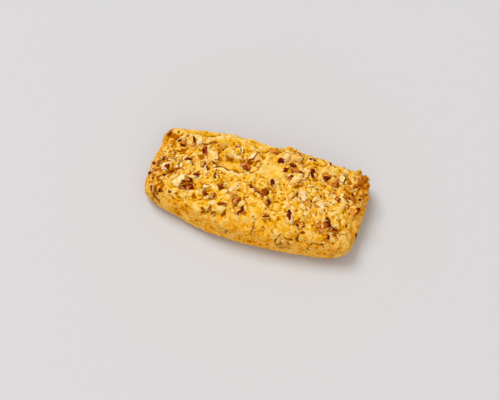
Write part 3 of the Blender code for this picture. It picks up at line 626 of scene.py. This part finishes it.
# Slivers and crumbs of nut between them, in the terms of the crown. A row that ends without looks is all
# skin, and one that ends with a tone is bare flesh.
ALL_SKIN, BARE_FLESH = [0.8, 0, 90, 1], [0, 0, 0]
SLIVERS = (
    (-40.7, 10.6, 4.2, 2.8, -20, 0.85, 0, 90, 1), (-43.5, 12.5, 2.4, 1.6, 30), (-39.8, 15.6, 1.8, 1.2, 0),
    (-42, -5.2, 3.6, 2, 60), (-44.5, -8, 3, 1.8, 20), (-50.5, -1, 3.2, 2.4, 60, 0.98, 0, 90, 0.9),
    (-19.3, -4.2, 3.6, 1.4, 105, 0.9, 0, 90, 1), (-22, -10.8, 4, 1.8, 30, 0.2), (-20.7, -20.9, 2.6, 1.6, 0),
    (-38, -1.1, 3.2, 2, 110, 0), (-40, 1.2, 2.8, 1.8, 70, 0.05), (-35.5, -3.5, 2.2, 1.4, 30, 0),
    (-43.1, 0.3, 2.6, 1.8, 20, 0), (-34.6, 0, 2.8, 1.8, 50, 0.05), (-40.4, -2.5, 2.4, 1.6, 20, 0.1),
    (-9.5, -9.5, 3, 1.8, 20, 0.05), (-11, 13.2, 3.4, 1.4, 100, 0.15),
    (32.7, 20, 3.6, 1.6, 100, 0.6, 107, 40, 0.5), (22, 12, 2.4, 2, 0, 0),
    (16, 20.3, 2.4, 1.6, 0, 0.9, 0, 90, 0.9), (31.5, 9.5, 3, 1.6, 40, 0.1), (26.5, 3.5, 3.2, 1.8, 20, 0.2),
    (37.5, 3, 2.8, 1.8, 60, 0.1), (43.7, 3.7, 3.2, 1.6, 67, 0.97, 0, 90, 0.9),
    (47.1, 5.2, 3, 2.2, 75, 0.8, 0, 90, 0.8), (27, -9, 3.6, 2, 30, 0.1), (33, 0.7, 1.5, 1.1, 125),
    (30.3, 3.2, 1.8, 1.1, 20, 0.97, 0, 90, 0.9), (39, -11, 2.6, 1.8, 20),
    (12, -17, 2.4, 1.6, 10, 0.9, 0, 90, 0.9), (5.8, -8.6, 3.4, 1.4, -60), (-44.6, -16.2, 2.4, 1.5, 87),
    (26.7, -18.1, 2.6, 1.9, 107, 0.8, 0, 90, 0.9), (-3.1, 14, 3, 1.8, 21, 0.8, 0, 90, 0.9),
    (20.5, 9.5, 2.8, 2.4, 166), (42.1, -18.4, 2.4, 1.5, 107), (52.9, 14.4, 1.8, 1.6, 0),
    (47.6, 7.5, 2.2, 1.4, 125), (-48.3, 1.5, 2.2, 1.6, 62), (-24.3, 3.5, 2, 1.4, 107),
    (33.2, -2.9, 3.8, 1.4, 49, 0.5, 0, -90, 0.6), (29.3, -4.5, 3.2, 1.4, 111, 0.8, 0, 90, 0.8),
    (-39.3, -16.7, 2.2, 1.4, 0), (-46, 17.8, 1.8, 1.3, 62), (-49.7, -10.2, 2.2, 1.4, 90),
    (-47.9, -14.4, 2.4, 1.3, 90), (-46.7, -16, 1.8, 1.2, 60), (-49.7, -15.1, 1.6, 1.2, 0),
    (-49.2, -16.2, 1.6, 1.2, 40), (-43.4, -16.6, 1.5, 1.1, 80), (-45.7, -17.6, 1.8, 1.2, 100),
    (-53.2, -0.4, 2.8, 2.2, 0, 0.8, 0, 90, 0.8), (-53, -7.5, 2, 1.6, 0), (-50.6, 16.7, 2.6, 1.5, 60),
    (-49.6, 17.5, 2, 1.2, 20), (-49, 9.9, 1.6, 1.3, 0), (-43.1, 6, 3.6, 1.4, 30, 0.8, 0, 90, 0.9),
    (31.1, -1.7, 3.8, 1.8, 65, 0.05), (-25.6, 2.3, 3.4, 1.6, 142, 0.1), (25.8, -8.3, 2.8, 2.2, 49, 0.05),
    (-22.1, 1.7, 3, 1.7, 114, 0.1), (15.1, 6, 3.4, 1.5, 41, 0.05), (33.5, 7.9, 3, 1.6, 158, 0.05),
    (-40.8, -6.8, 2.8, 1.6, 71, 0.1), (-31.9, 0, 2.2, 1.5, 107, 0.05), (41.6, 13, 4.8, 1.8, 95),
    (15.6, 12.4, 5, 2.4, 157, 0.8, 0, 90, 0.9), (2.4, 18.8, 3.6, 1.8, 54, 0.8, 0, 90, 0.9),
    (9.1, -17.1, 2.2, 1.5, 17, 0), (20.4, -2, 2.4, 1.4, 35, 0), (-21.1, -21.2, 1.3, 0.9, 0),
    (-19.1, -22.6, 1.4, 0.9, 40), (-17.1, -20.5, 1.5, 0.9, 60), (-14.7, -21.6, 1.2, 0.9, 0),
    (-15.6, -22.4, 1.3, 0.8, 90), (-18, -21.6, 1, 0.8, 0), (-37, 2.4, 3.2, 2.3, 80, 0),
    (-42.2, 3.2, 2.8, 2.1, 20, 0), (-45.2, 1.6, 2.6, 1.9, 50, 0.05), (-38.2, -4.4, 2.6, 1.9, 0, 0),
    (-22.2, -12.6, 1.8, 1, 48), (46, 10.5, 2.9, 1.7, 140, 0.8, 0, 90, 0.9), (51.5, 7, 2.2, 1.4, 60),
    (49, -9, 1.8, 1.1, 30), (38.2, 13.7, 2.4, 1.6, 127, 0.8, 0, 90, 0.9),
    (-44.1, 6, 2.8, 1.1, 12, 0.8, 0, 90, 0.9),
)


def seat_matrix(rng, seat, turn, height, proud):
    """Where a chunk lies: on its spot of the crust, turned about the way out of it and leaning a little."""
    spot, outward = seat
    stand = outward.to_track_quat("Z", "Y").to_matrix().to_4x4()
    own_angle = math.atan2(stand[1][0], stand[0][0])
    level = Matrix.Rotation(turn - own_angle, 4, "Z")
    lean_x = Matrix.Rotation(math.radians(rng.uniform(-NUT_TILT, NUT_TILT)), 4, "X")
    lean_y = Matrix.Rotation(math.radians(rng.uniform(-NUT_TILT, NUT_TILT)), 4, "Y")
    return Matrix.Translation(spot + outward * height * proud) @ stand @ level @ lean_x @ lean_y


smooth_crust = BVHTree.FromPolygons(smooth.tolist(), squares.tolist())


def smooth_normal(spot):
    """The way out of the bar at a spot, as if its crust were smooth."""
    return smooth_crust.find_nearest(spot)[1]


def crown_seat(x, y):
    """The spot of the crust below a place, and a way out that leans from the crust's own to upright."""
    upright = Vector((0, 0, 1))
    spot = crust.ray_cast(Vector((x, y, 2 * HEIGHT)), -upright)[0]
    return spot, (smooth_normal(spot) + upright).normalized()


def side_seat(start, inward):
    spot = crust.ray_cast(start, inward)[0]
    return spot, smooth_normal(spot)


def refine(bm, longest):
    """Halve long edges until the faces are fine enough to carry relief."""
    for _ in range(6):
        long_edges = [edge for edge in bm.edges if edge.calc_length() > longest]
        if not long_edges:
            return
        bmesh.ops.subdivide_edges(bm, edges=long_edges, cuts=1)
        bmesh.ops.triangulate(bm, faces=[face for face in bm.faces if len(face.verts) > 3])


def heading(angle, rise):
    return Vector((math.cos(angle) * math.cos(rise), math.sin(angle) * math.cos(rise), math.sin(rise)))


def noise_shift(rng):
    """A place of its own in the noise, so that no two shapes come out alike."""
    return Vector((rng.random(), rng.random(), rng.random())) * 50


def broken_nut(rng, size, skin_way, tone, cover):
    """A chunk of a pecan half: skin on its ridged outside, and flat faces where it broke."""
    bm = bmesh.new()
    bmesh.ops.create_icosphere(bm, subdivisions=3 if size[0] > SMALL_NUT else 2, radius=1.0)
    shift = noise_shift(rng)
    ridge = bm.verts.layers.float.new("ridge")
    for vert in bm.verts:
        wave = noise.fractal(vert.co * 1.1 + shift, 1.0, 2.0, 2)
        drawn_out = Vector((vert.co.x * 0.6, vert.co.y * 2.6, vert.co.z * 2.6))
        furrow = min(abs(noise.noise(drawn_out + shift)) * 3, 1)
        blunt = sum(abs(part) ** 3 for part in vert.co) ** (1 / 3)
        vert.co *= (1 + SWELL * wave + RIDGE * (furrow - 0.5)) / blunt
        vert[ridge] = furrow
    shade = bm.faces.layers.float.new("tone")
    bm.normal_update()
    # A tone above 0.8 paints the skin paler and pinker: in part a painted highlight.
    skin_tone, flesh_tone = SKIN_LEVEL + 1.5 * max(tone - 0.8, 0), min(tone, 0.55) if cover > 0.5 else tone
    for face in bm.faces:
        face.material_index = int(face.normal.dot(skin_way) > 1 - 2 * cover)
        # Skin on the raised ridges is painted paler and in the furrows darker: a painted highlight and
        # painted shade.
        raised = sum(vert[ridge] for vert in face.verts) / 3
        face[shade] = skin_tone + (raised - 0.4) * 0.5 if face.material_index else flesh_tone
    first = rng.uniform(0, math.tau)
    ways = [
        heading(first + math.tau * (n + rng.uniform(-uneven, uneven)) / count, rng.uniform(*rises))
        for count, uneven, rises in BREAK_RINGS for n in range(count)]
    for way in ways:
        on_skin = way.dot(skin_way) > 0.9 - 1.8 * cover
        share = rng.uniform(*SKIN_BREAKS if on_skin else FLESH_BREAKS)
        change = rng.uniform(-BREAK_CHANGE, BREAK_CHANGE)
        reach = max(vert.co.dot(way) for vert in bm.verts)
        bmesh.ops.bisect_plane(
            bm, geom=bm.verts[:] + bm.edges[:] + bm.faces[:], plane_co=way * reach * share,
            plane_no=way, clear_outer=True)
        rim = [edge for edge in bm.edges if edge.is_boundary]
        for face in bmesh.ops.holes_fill(bm, edges=rim, sides=0)["faces"]:
            face.material_index = int(on_skin)
            face[shade] = max(skin_tone + change * 2 if on_skin else flesh_tone + change, 0)
    bmesh.ops.recalc_face_normals(bm, faces=bm.faces[:])
    taper = rng.uniform(-TAPER, TAPER)
    for vert in bm.verts:
        vert.co.y *= 1 + taper * vert.co.x
        vert.co = Vector([part * extent * (0.5 - 0.04 * cover) for part, extent in zip(vert.co, size)])
    return bm


def add_nut(nuts, rng, seat, turn, size, proud, look):
    """Break a piece, lay it in its place, roughen it, and add its points and faces to the nuts."""
    tone, facing, rise, cover = look
    if cover >= SKINNED:
        facing, rise, cover = rng.uniform(0, 360), 60, cover - SKINNED_LESS
    matrix = seat_matrix(rng, seat, turn, size[2], proud)
    skin_way = matrix.to_3x3().inverted() @ heading(math.radians(facing), math.radians(rise))
    bm = broken_nut(rng, size, skin_way, tone, cover)
    bm.transform(matrix)
    bmesh.ops.triangulate(bm, faces=bm.faces[:])
    refine(bm, LONGEST_EDGE)
    bm.normal_update()
    for vert in bm.verts:
        vert.co += vert.normal * noise.fractal(vert.co / ROUGH_SIZE, 1.0, 2.0, 3) * ROUGH_HEIGHT * MM
    sink = max(0, max(vert.co.z for vert in bm.verts) - NUT_TOP)
    for vert in bm.verts:
        vert.co.z = max(vert.co.z - sink, NUT_BOTTOM)
    first_vert = len(nuts["points"])
    bm.verts.index_update()
    shade = bm.faces.layers.float["tone"]
    nuts["points"] += [tuple(vert.co) for vert in bm.verts]
    nuts["faces"] += [[first_vert + vert.index for vert in face.verts] for face in bm.faces]
    nuts["skin"] += [face.material_index for face in bm.faces]
    nuts["tone"] += [face[shade] for face in bm.faces]
    bm.free()


nuts = {"points": [], "faces": [], "skin": [], "tone": []}
for number, (x, y, length, width, turn, *look) in enumerate(NUTS_ON_CROWN):
    rng = random.Random(CROWN_SEED + number)
    size = Vector((length, width, width * NUT_TALL)) * MM
    proud = NUT_BARE if look[0] < 0.6 and look[3] < 0.6 else NUT_PROUD
    add_nut(nuts, rng, crown_seat(x * MM, y * MM), math.radians(turn), size, proud, look)
for number, (x, z, length, width, turn, *look) in enumerate(NUTS_IN_FRONT):
    rng = random.Random(FRONT_SEED + number)
    size = Vector((length, width, width * NUT_TALL)) * MM
    seat = side_seat(Vector((x * MM, -2 * HALF_WIDTH, z * MM)), Vector((0, 1, 0)))
    add_nut(nuts, rng, seat, math.radians(turn), size, NUT_FLUSH, look)
for number, (x, y, length, width, turn, *look) in enumerate(SLIVERS):
    rng = random.Random(SLIVER_SEED + number)
    size = Vector((length, width, width * NUT_TALL)) * MM
    look = look + BARE_FLESH if len(look) == 1 else look or ALL_SKIN
    add_nut(nuts, rng, crown_seat(x * MM, y * MM), math.radians(turn), size, NUT_PROUD, look)
# A few more, baked into the back and the two ends.
for number in range(SIDE_NUTS):
    rng = random.Random(SIDE_SEED + number)
    angle = math.radians(SIDE_START + SIDE_SWEEP * (number + rng.random()) / SIDE_NUTS)
    way = Vector((math.cos(angle), math.sin(angle), 0))
    start = way * 2 * HALF_LENGTH + Vector((0, 0, rng.uniform(*SIDE_HEIGHTS) * MM))
    length = rng.uniform(*SIDE_LENGTHS) * MM
    width = length * rng.uniform(*SIDE_WIDTHS)
    turn = rng.uniform(0, math.pi)
    look = (0.6, math.degrees(angle), 40, (0.35, 0.6)[number % 2])
    add_nut(nuts, rng, side_seat(start, -way), turn, (length, width, width * NUT_TALL), NUT_FLUSH, look)

mesh = bpy.data.meshes.new("pecan_pieces")
mesh.from_pydata(nuts["points"], [], nuts["faces"])
mesh.polygons.foreach_set("material_index", nuts["skin"])
set_attribute(mesh, "tone", nuts["tone"], "FACE")
# How close each point of a piece is to the crust, where the pieces are painted darker: a painted contact
# shade.
SUNK_REACH = 0.4 * MM
sunk = []
for point in nuts["points"]:
    spot, way, _, _ = crust.find_nearest(Vector(point))
    sunk.append(math.exp(-(max((Vector(point) - spot).dot(way), 0) / SUNK_REACH) ** 2))
set_attribute(mesh, "sunk", sunk)
mesh.shade_smooth()
mesh.set_sharp_from_angle(angle=SOFT_FOLD)
pecans = add_object("pecan_pieces", mesh)

# The dough rose a little round each piece, and is painted dark in the seam where it touches it: a painted
# contact shade.
FAR, COLLAR_RISE = 2.5 * MM, 0.9
pieces = BVHTree.FromPolygons(nuts["points"], nuts["faces"])
nearest = [pieces.find_nearest(Vector(point), FAR)[3] for point in points.tolist()]
gap = np.array([FAR if distance is None else distance for distance in nearest]) / MM
lap = ramp(fractal(smooth, 2.2 * MM), -0.1, 0.5)
collar = on_crown * lap * np.exp(-((gap - 0.3) / 0.6) ** 2)
points += outward * (off_base * collar * COLLAR_RISE)[:, None] * MM
dough.data.vertices.foreach_set("co", points.ravel())
contact_shade = ramp(fractal(smooth, 3.0 * MM), -0.2, 0.6) * np.exp(-(gap / 0.45) ** 2)
pore = np.maximum(np.clip(pore + seams_and_shade, 0, 1) * off_base, contact_shade)
dough.data.attributes["pore"].data.foreach_set("value", pore.astype(np.float32))
# Painted light on the crumb: paler where it stands out of its surroundings and on its lumps, a painted
# highlight; amber in its hollows, along the trough's back wall, behind its lip and in the shaded hollows, a
# painted shade. The calm places are paler too.
small = height_over_blur(points, outward, squares, 6) / MM
large = height_over_blur(points, outward, squares, 60) / MM
small, large = np.clip(small / 0.25, -1, 1), np.clip(large / 1.0, -1, 1)
lift = (small * 0.75 + large * 0.5) * calm * (1 - 0.35 * front_face) + 0.75 * (1 - calm) + stand_out * 0.2
lift = off_base * np.clip(lift - 2.2 * (shade + crevice_and_shade + shaded_hollows) * uneven, -1.6, 1)
dough.data.attributes["lift"].data.foreach_set("value", lift.astype(np.float32))

# Flesh from raw to roasted, the brown of its fibres, and skin from dark to pink: its dark end stands in part
# for painted shade in the furrows, and its pink end in part for a painted highlight.
CREAM, NUTTY, GOLDEN, TAN, ROASTED = (
    (0.88, 0.73, 0.42), (0.86, 0.59, 0.20), (0.80, 0.44, 0.07), (0.65, 0.265, 0.022), (0.42, 0.11, 0.003))
FIBRE_BROWN = (0.36, 0.10, 0.004)
SKIN_DARK, SKIN_DEEP, SKIN_RED, SKIN_PINK = (
    (0.10, 0.006, 0), (0.28, 0.038, 0), (0.55, 0.14, 0.003), (0.70, 0.30, 0.10))


def nut_finish(name, subsurface, radius, gloss, sizes, changes, stops):
    """A nut's material: its tone changes with patches and fibres of those sizes (mm), and it is painted
    darker near the crust, a painted contact shade.
    """
    material, shader, wire = new_material(name, subsurface, radius, gloss)
    place = place_mm(wire)
    tone, contact_shade_here = attribute(wire, "tone"), attribute(wire, "sunk")
    patches, fibres = [noise_at(place, size, detail) for size, detail in zip(sizes, (3.0, 2.0))]
    colour = wire.node(
        "ShaderNodeValToRGB", {"stops": stops},
        {"Fac": tone + (patches - 0.5) * 1.0 + (fibres - 0.5) * changes[0] + contact_shade_here * changes[1]}, "Color")
    bump = wire.node("ShaderNodeBump", {}, {"Strength": 0.3, "Distance": 0.1 * MM, "Height": fibres})
    link(bump, shader, "Normal")
    return material, shader, colour, tone, patches, fibres


flesh_finish, shader, colour, tone, patches, fibres = nut_finish(
    "pecan_flesh", 0.05, (0.7, 0.4, 0.2), 0.05, (1.5, 0.5), (0.5, 0.4),
    ((0.0, CREAM), (0.22, NUTTY), (0.44, GOLDEN), (0.7, TAN), (1.0, ROASTED)))
link((fibres.ramp(0.55, 0.75) * 0.25).mix(colour, FIBRE_BROWN), shader, "Base Color")
link(0.55 + (fibres - 0.5) * 0.3, shader, "Roughness")

skin_finish, shader, colour, tone, patches, wrinkles = nut_finish(
    "pecan_skin", 0.0, (0.8, 0.3, 0.1), 0.03, (1.4, 0.35), (0.4, -0.2),
    ((0.0, SKIN_DARK), (0.35, SKIN_DEEP), (0.65, SKIN_RED), (1.0, SKIN_PINK)))
link(colour, shader, "Base Color")
link(0.4 + wrinkles * 0.2, shader, "Roughness")
shader.inputs["Coat Roughness"].default_value = 0.3
link((tone + (patches - 0.5) * 0.6).ramp(0.3, 0.7) * 0.6, shader, "Coat Weight")

mesh.materials.append(flesh_finish)
mesh.materials.append(skin_finish)
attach(pecans, "root")
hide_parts("pecan_bar")

# --- Small chips, flakes and crumbs ---
# The fine end of the chop and the dough's own loose crumb, strewn over the torn crown: cream chips, thin
# flakes of skin, and little lumps of dough. One node tree spreads a kit of small shapes over the crust.
def scatter_tree():
    """A node tree that lays shapes where an attribute is high, and the identifiers of its inputs."""
    tree = bpy.data.node_groups.new("strew", "GeometryNodeTree")
    names = {}
    for label, kind in (
        ("Geometry", "Geometry"), ("Shapes", "Collection"), ("Finish", "Material"), ("Where", "String"),
        ("Density", "Float"), ("Spacing", "Float"), ("Smallest", "Float"), ("Largest", "Float"),
        ("Lean", "Float"), ("Look", "String"), ("Look from", "Float"), ("Look to", "Float"), ("Seed", "Int"),
    ):
        socket = tree.interface.new_socket(label, in_out="INPUT", socket_type=f"NodeSocket{kind}")
        names[label] = socket.identifier
    tree.interface.new_socket("Geometry", in_out="OUTPUT", socket_type="NodeSocketGeometry")
    made = tree.nodes.new("NodeGroupInput")
    given = {label: Wire(tree, made.outputs[label]) for label in names}
    wire = Wire(tree)
    where = wire.node("GeometryNodeInputNamedAttribute", {"data_type": "FLOAT"}, {"Name": given["Where"]})
    spread = wire.node(
        "GeometryNodeDistributePointsOnFaces", {"distribute_method": "POISSON"},
        {"Mesh": given["Geometry"], "Distance Min": given["Spacing"], "Density Max": given["Density"],
         "Density Factor": where, "Seed": given["Seed"]})
    rotation = Wire(tree, spread.socket.node.outputs["Rotation"])
    lean = wire.node("ShaderNodeCombineXYZ", {}, {"X": given["Lean"], "Y": given["Lean"], "Z": math.pi})
    lean_back = wire.node("ShaderNodeVectorMath", {"operation": "SCALE"}, {0: lean, "Scale": -1.0})

    def random_value(low, high):
        return wire.node(
            "FunctionNodeRandomValue", {"data_type": "FLOAT"},
            {"Min_001": given[low], "Max_001": given[high], "Seed": given["Seed"]}, "Value_001")

    turn = wire.node(
        "FunctionNodeRandomValue", {"data_type": "FLOAT_VECTOR"},
        {"Min": lean_back, "Max": lean, "Seed": given["Seed"]}, "Value")
    turn = wire.node("FunctionNodeEulerToRotation", {}, {0: turn})
    rotation = wire.node("FunctionNodeRotateRotation", {"rotation_space": "LOCAL"}, {0: rotation, 1: turn})
    kit = wire.node(
        "GeometryNodeCollectionInfo", {},
        {"Collection": given["Shapes"], "Separate Children": True, "Reset Children": True})
    laid = wire.node(
        "GeometryNodeInstanceOnPoints", {},
        {"Points": spread, "Instance": kit, "Pick Instance": True, "Rotation": rotation,
         "Scale": random_value("Smallest", "Largest")})
    laid = wire.node(
        "GeometryNodeStoreNamedAttribute", {"data_type": "FLOAT", "domain": "INSTANCE"},
        {"Geometry": laid, "Name": given["Look"], "Value": random_value("Look from", "Look to")})
    laid = wire.node("GeometryNodeRealizeInstances", {}, {"Geometry": laid})
    laid = wire.node("GeometryNodeSetMaterial", {}, {"Geometry": laid, "Material": given["Finish"]})
    tree.links.new(laid.socket, tree.nodes.new("NodeGroupOutput").inputs["Geometry"])
    return tree, names


strew, strew_inputs = scatter_tree()


def strew_over_crust(name, shapes, settings):
    """A mesh object of small shapes, spread over the dough by the node tree and then made plain."""
    kit = bpy.data.collections.new(name + "_kit")
    for number, bm in enumerate(shapes):
        shape = bpy.data.meshes.new(f"{name}_shape_{number}")
        bm.to_mesh(shape)
        bm.free()
        kit.objects.link(bpy.data.objects.new(shape.name, shape))
    piece = add_object(name, dough.data.copy())
    modifier = piece.modifiers.new("strew", "NODES")
    modifier.node_group = strew
    modifier[strew_inputs["Shapes"]] = kit
    for label, value in settings.items():
        modifier[strew_inputs[label]] = value
    bpy.context.view_layer.update()
    depsgraph = bpy.context.evaluated_depsgraph_get()
    plain = bpy.data.meshes.new_from_object(piece.evaluated_get(depsgraph))
    piece.modifiers.clear()
    piece.data = plain
    plain.name = name
    for shape in list(kit.objects):
        bpy.data.objects.remove(shape)
    bpy.data.collections.remove(kit)
    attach(piece, "root")
    return piece


# The rings of corners of a chip, as level, spread and number, and how uneven they are.
CHIP_RINGS = ((-0.5, 0.6, 4), (0.1, 1.0, 6), (0.5, 0.6, 4))
CHIP_SKEW, CHIP_BLUNT, CHIP_WAVE = 0.25, 0.25, 0.1


def chip_shape(rng, length, width, height):
    """A chip about its own middle: three uneven rings of corners, wrapped in their hull."""
    bm = bmesh.new()
    for level, spread, corners in CHIP_RINGS:
        start = rng.uniform(0, math.tau)
        for k in range(corners):
            angle = start + math.tau * (k + rng.uniform(-CHIP_SKEW, CHIP_SKEW)) / corners
            along, across = math.cos(angle), math.sin(angle)
            square = (abs(along) ** 4 + abs(across) ** 4) ** 0.25
            reach = spread * rng.uniform(1 - CHIP_BLUNT, 1) / square / 2
            rise = level + rng.uniform(-CHIP_WAVE, CHIP_WAVE)
            bm.verts.new((along * length * reach, across * width * reach, height * rise))
    hull = bmesh.ops.convex_hull(bm, input=bm.verts[:])
    spare = [item for item in hull["geom_interior"] if isinstance(item, bmesh.types.BMVert)]
    bmesh.ops.delete(bm, geom=spare, context="VERTS")
    bmesh.ops.recalc_face_normals(bm, faces=bm.faces[:])
    return bm


def crumb_shape(rng):
    """A little lump of dough, a millimetre across."""
    bm = bmesh.new()
    bmesh.ops.create_icosphere(bm, subdivisions=2, radius=0.5 * MM)
    shift = noise_shift(rng)
    for vert in bm.verts:
        vert.co *= 1 + 0.9 * noise.noise(vert.co / (0.45 * MM) + shift)
        vert.co.z *= 0.8
    for face in bm.faces:
        face.smooth = True
    return bm


SHAPES_EACH, KIT_SEED = 6, 7
rng = random.Random(KIT_SEED)
chip_shapes = [chip_shape(rng, 1.5 * MM, 1.0 * MM, 0.8 * MM) for _ in range(SHAPES_EACH)]
flake_shapes = [chip_shape(rng, 1.6 * MM, 0.8 * MM, 0.4 * MM) for _ in range(SHAPES_EACH)]
crumb_shapes = [crumb_shape(rng) for _ in range(SHAPES_EACH)]
strew_over_crust("pecan_chips", chip_shapes, {
    "Finish": flesh_finish, "Where": "strewn", "Density": 60000.0, "Spacing": 2.3 * MM, "Smallest": 0.4,
    "Largest": 1.3, "Lean": 0.6, "Look": "tone", "Look from": 0.0, "Look to": 0.5, "Seed": 3})
strew_over_crust("skin_flakes", flake_shapes, {
    "Finish": skin_finish, "Where": "strewn", "Density": 60000.0, "Spacing": 1.9 * MM, "Smallest": 0.4,
    "Largest": 1.5, "Lean": 0.7, "Look": "tone", "Look from": 0.0, "Look to": 0.6, "Seed": 5})

# The bigger crumbs that baked on at the right rear corner, on the back edge and behind the trough: the middle
# of each group, its half sizes (mm), how many, and how deep they sit (mm).
CRUMB_GROUPS = (
    ((51, 17, 14), (3, 7, 4), 10, 0.0), ((13.0, 23, 17), (3.5, 1.5, 1.5), 3, 0.0),
    ((-19.4, 9.0, 24), (0.4, 0.3, 0.2), 1, 0.5), ((-14.6, 10.0, 24), (1.3, 0.5, 0.2), 2, 0.5),
)
# Their widths (mm), the radius of their core as a share of that, the size and height (mm) of their relief,
# how low they may reach, and the first random seed of each group.
CRUMB_WIDTHS, CRUMB_CORE, CRUMB_LUMP, CRUMB_RELIEF, CRUMB_LOWEST = (3.0, 4.6), 0.45, 1.8 * MM, 0.7, 0.3 * MM
CRUMB_SEED, GROUP_SEEDS = 900, 50
baked_on = bmesh.new()
for group, (middle, half, count, sunk) in enumerate(CRUMB_GROUPS):
    for number in range(count):
        rng = random.Random(CRUMB_SEED + GROUP_SEEDS * group + number)
        wish = Vector([(m + rng.uniform(-h, h)) * MM for m, h in zip(middle, half)])
        spot = crust.find_nearest(wish)[0] - Vector((0, 0, sunk * MM))
        radius = rng.uniform(*CRUMB_WIDTHS) * MM * CRUMB_CORE
        crumb = bmesh.new()
        bmesh.ops.create_icosphere(crumb, subdivisions=5, radius=radius)
        shift = noise_shift(rng)
        for vert in crumb.verts:
            out = vert.co.normalized()
            vert.co += out * noise.fractal(vert.co / CRUMB_LUMP + shift, 1.0, 2.0, 3) * CRUMB_RELIEF * MM
            vert.co += spot
            vert.co.z = max(vert.co.z, CRUMB_LOWEST)
        verts = [baked_on.verts.new(vert.co) for vert in crumb.verts]
        for face in crumb.faces:
            baked_on.faces.new([verts[vert.index] for vert in face.verts]).smooth = True
        crumb.free()
corner_mesh = bpy.data.meshes.new("corner_crumbs")
baked_on.to_mesh(corner_mesh)
baked_on.free()
corner_points = np.zeros(len(corner_mesh.vertices) * 3)
corner_mesh.vertices.foreach_get("co", corner_points)
corner_points = corner_points.reshape(-1, 3)
baked = 0.5 * (1 - ramp(corner_points[:, 2], 20 * MM, 1 * MM))
set_attribute(corner_mesh, "bake", baked)
set_attribute(corner_mesh, "toast", np.clip(ovals(corner_points, TOAST_PLACES), 0, 1))
set_attribute(corner_mesh, "lift", np.clip(fractal(corner_points, 1.6 * MM, 3) + 0.5 - baked, -1, 1))
corner_mesh.materials.append(crust_finish)
corner_crumbs = add_object("corner_crumbs", corner_mesh)
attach(corner_crumbs, "root")
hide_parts("pecan_bar")

strew_over_crust("dough_crumbs", crumb_shapes, {
    "Finish": crust_finish, "Where": "crumbly", "Density": 40000.0, "Spacing": 1.8 * MM, "Smallest": 0.4,
    "Largest": 1.7, "Lean": 1.5, "Look": "lift", "Look from": -0.3, "Look to": 0.4, "Seed": 11})

# --- Floor and light ---
# A plain pale top and soft studio light: a broad lamp high behind the left end, a broader, weaker and warmer
# one from the front right, and a warm pale sky all round.
FLOOR_HALF, FLOOR_GREY = 3, (0.560, 0.567, 0.600, 1)
floor_mesh = bpy.data.meshes.new("floor")
floor_corners = [(FLOOR_HALF * x, FLOOR_HALF * y, 0) for x, y in ((-1, -1), (1, -1), (1, 1), (-1, 1))]
floor_mesh.from_pydata(floor_corners, [], [(0, 1, 2, 3)])
floor = add_object("floor", floor_mesh)
floor_finish, shader, _ = new_material("pale_top", 0.0, (1, 1, 1), 0.3)
shader.inputs["Base Color"].default_value = FLOOR_GREY
shader.inputs["Roughness"].default_value = 0.6
floor_mesh.materials.append(floor_finish)


def studio_lamp(name, strength, spread, colour, way):
    """A far-off lamp that lies in that way from the bar and looks so many degrees broad."""
    light = bpy.data.lights.new(name, "SUN")
    light.energy, light.angle, light.color = strength, math.radians(spread), colour
    add_object(name, light).rotation_euler = way.to_track_quat("Z", "Y").to_euler()


studio_lamp("key", 1.98, 32, (0.98, 0.995, 1.0), heading(math.radians(152), math.radians(61)))
studio_lamp("fill", 1.05, 80, (1.0, 0.95, 0.86), Vector((0.35, -0.75, 0.55)))
world = bpy.data.worlds.new("studio")
scene.world = world
world.use_nodes = True
sky = world.node_tree.nodes["Background"]
sky.inputs["Color"].default_value = (1.0, 0.92, 0.82, 1)
sky.inputs["Strength"].default_value = 0.53
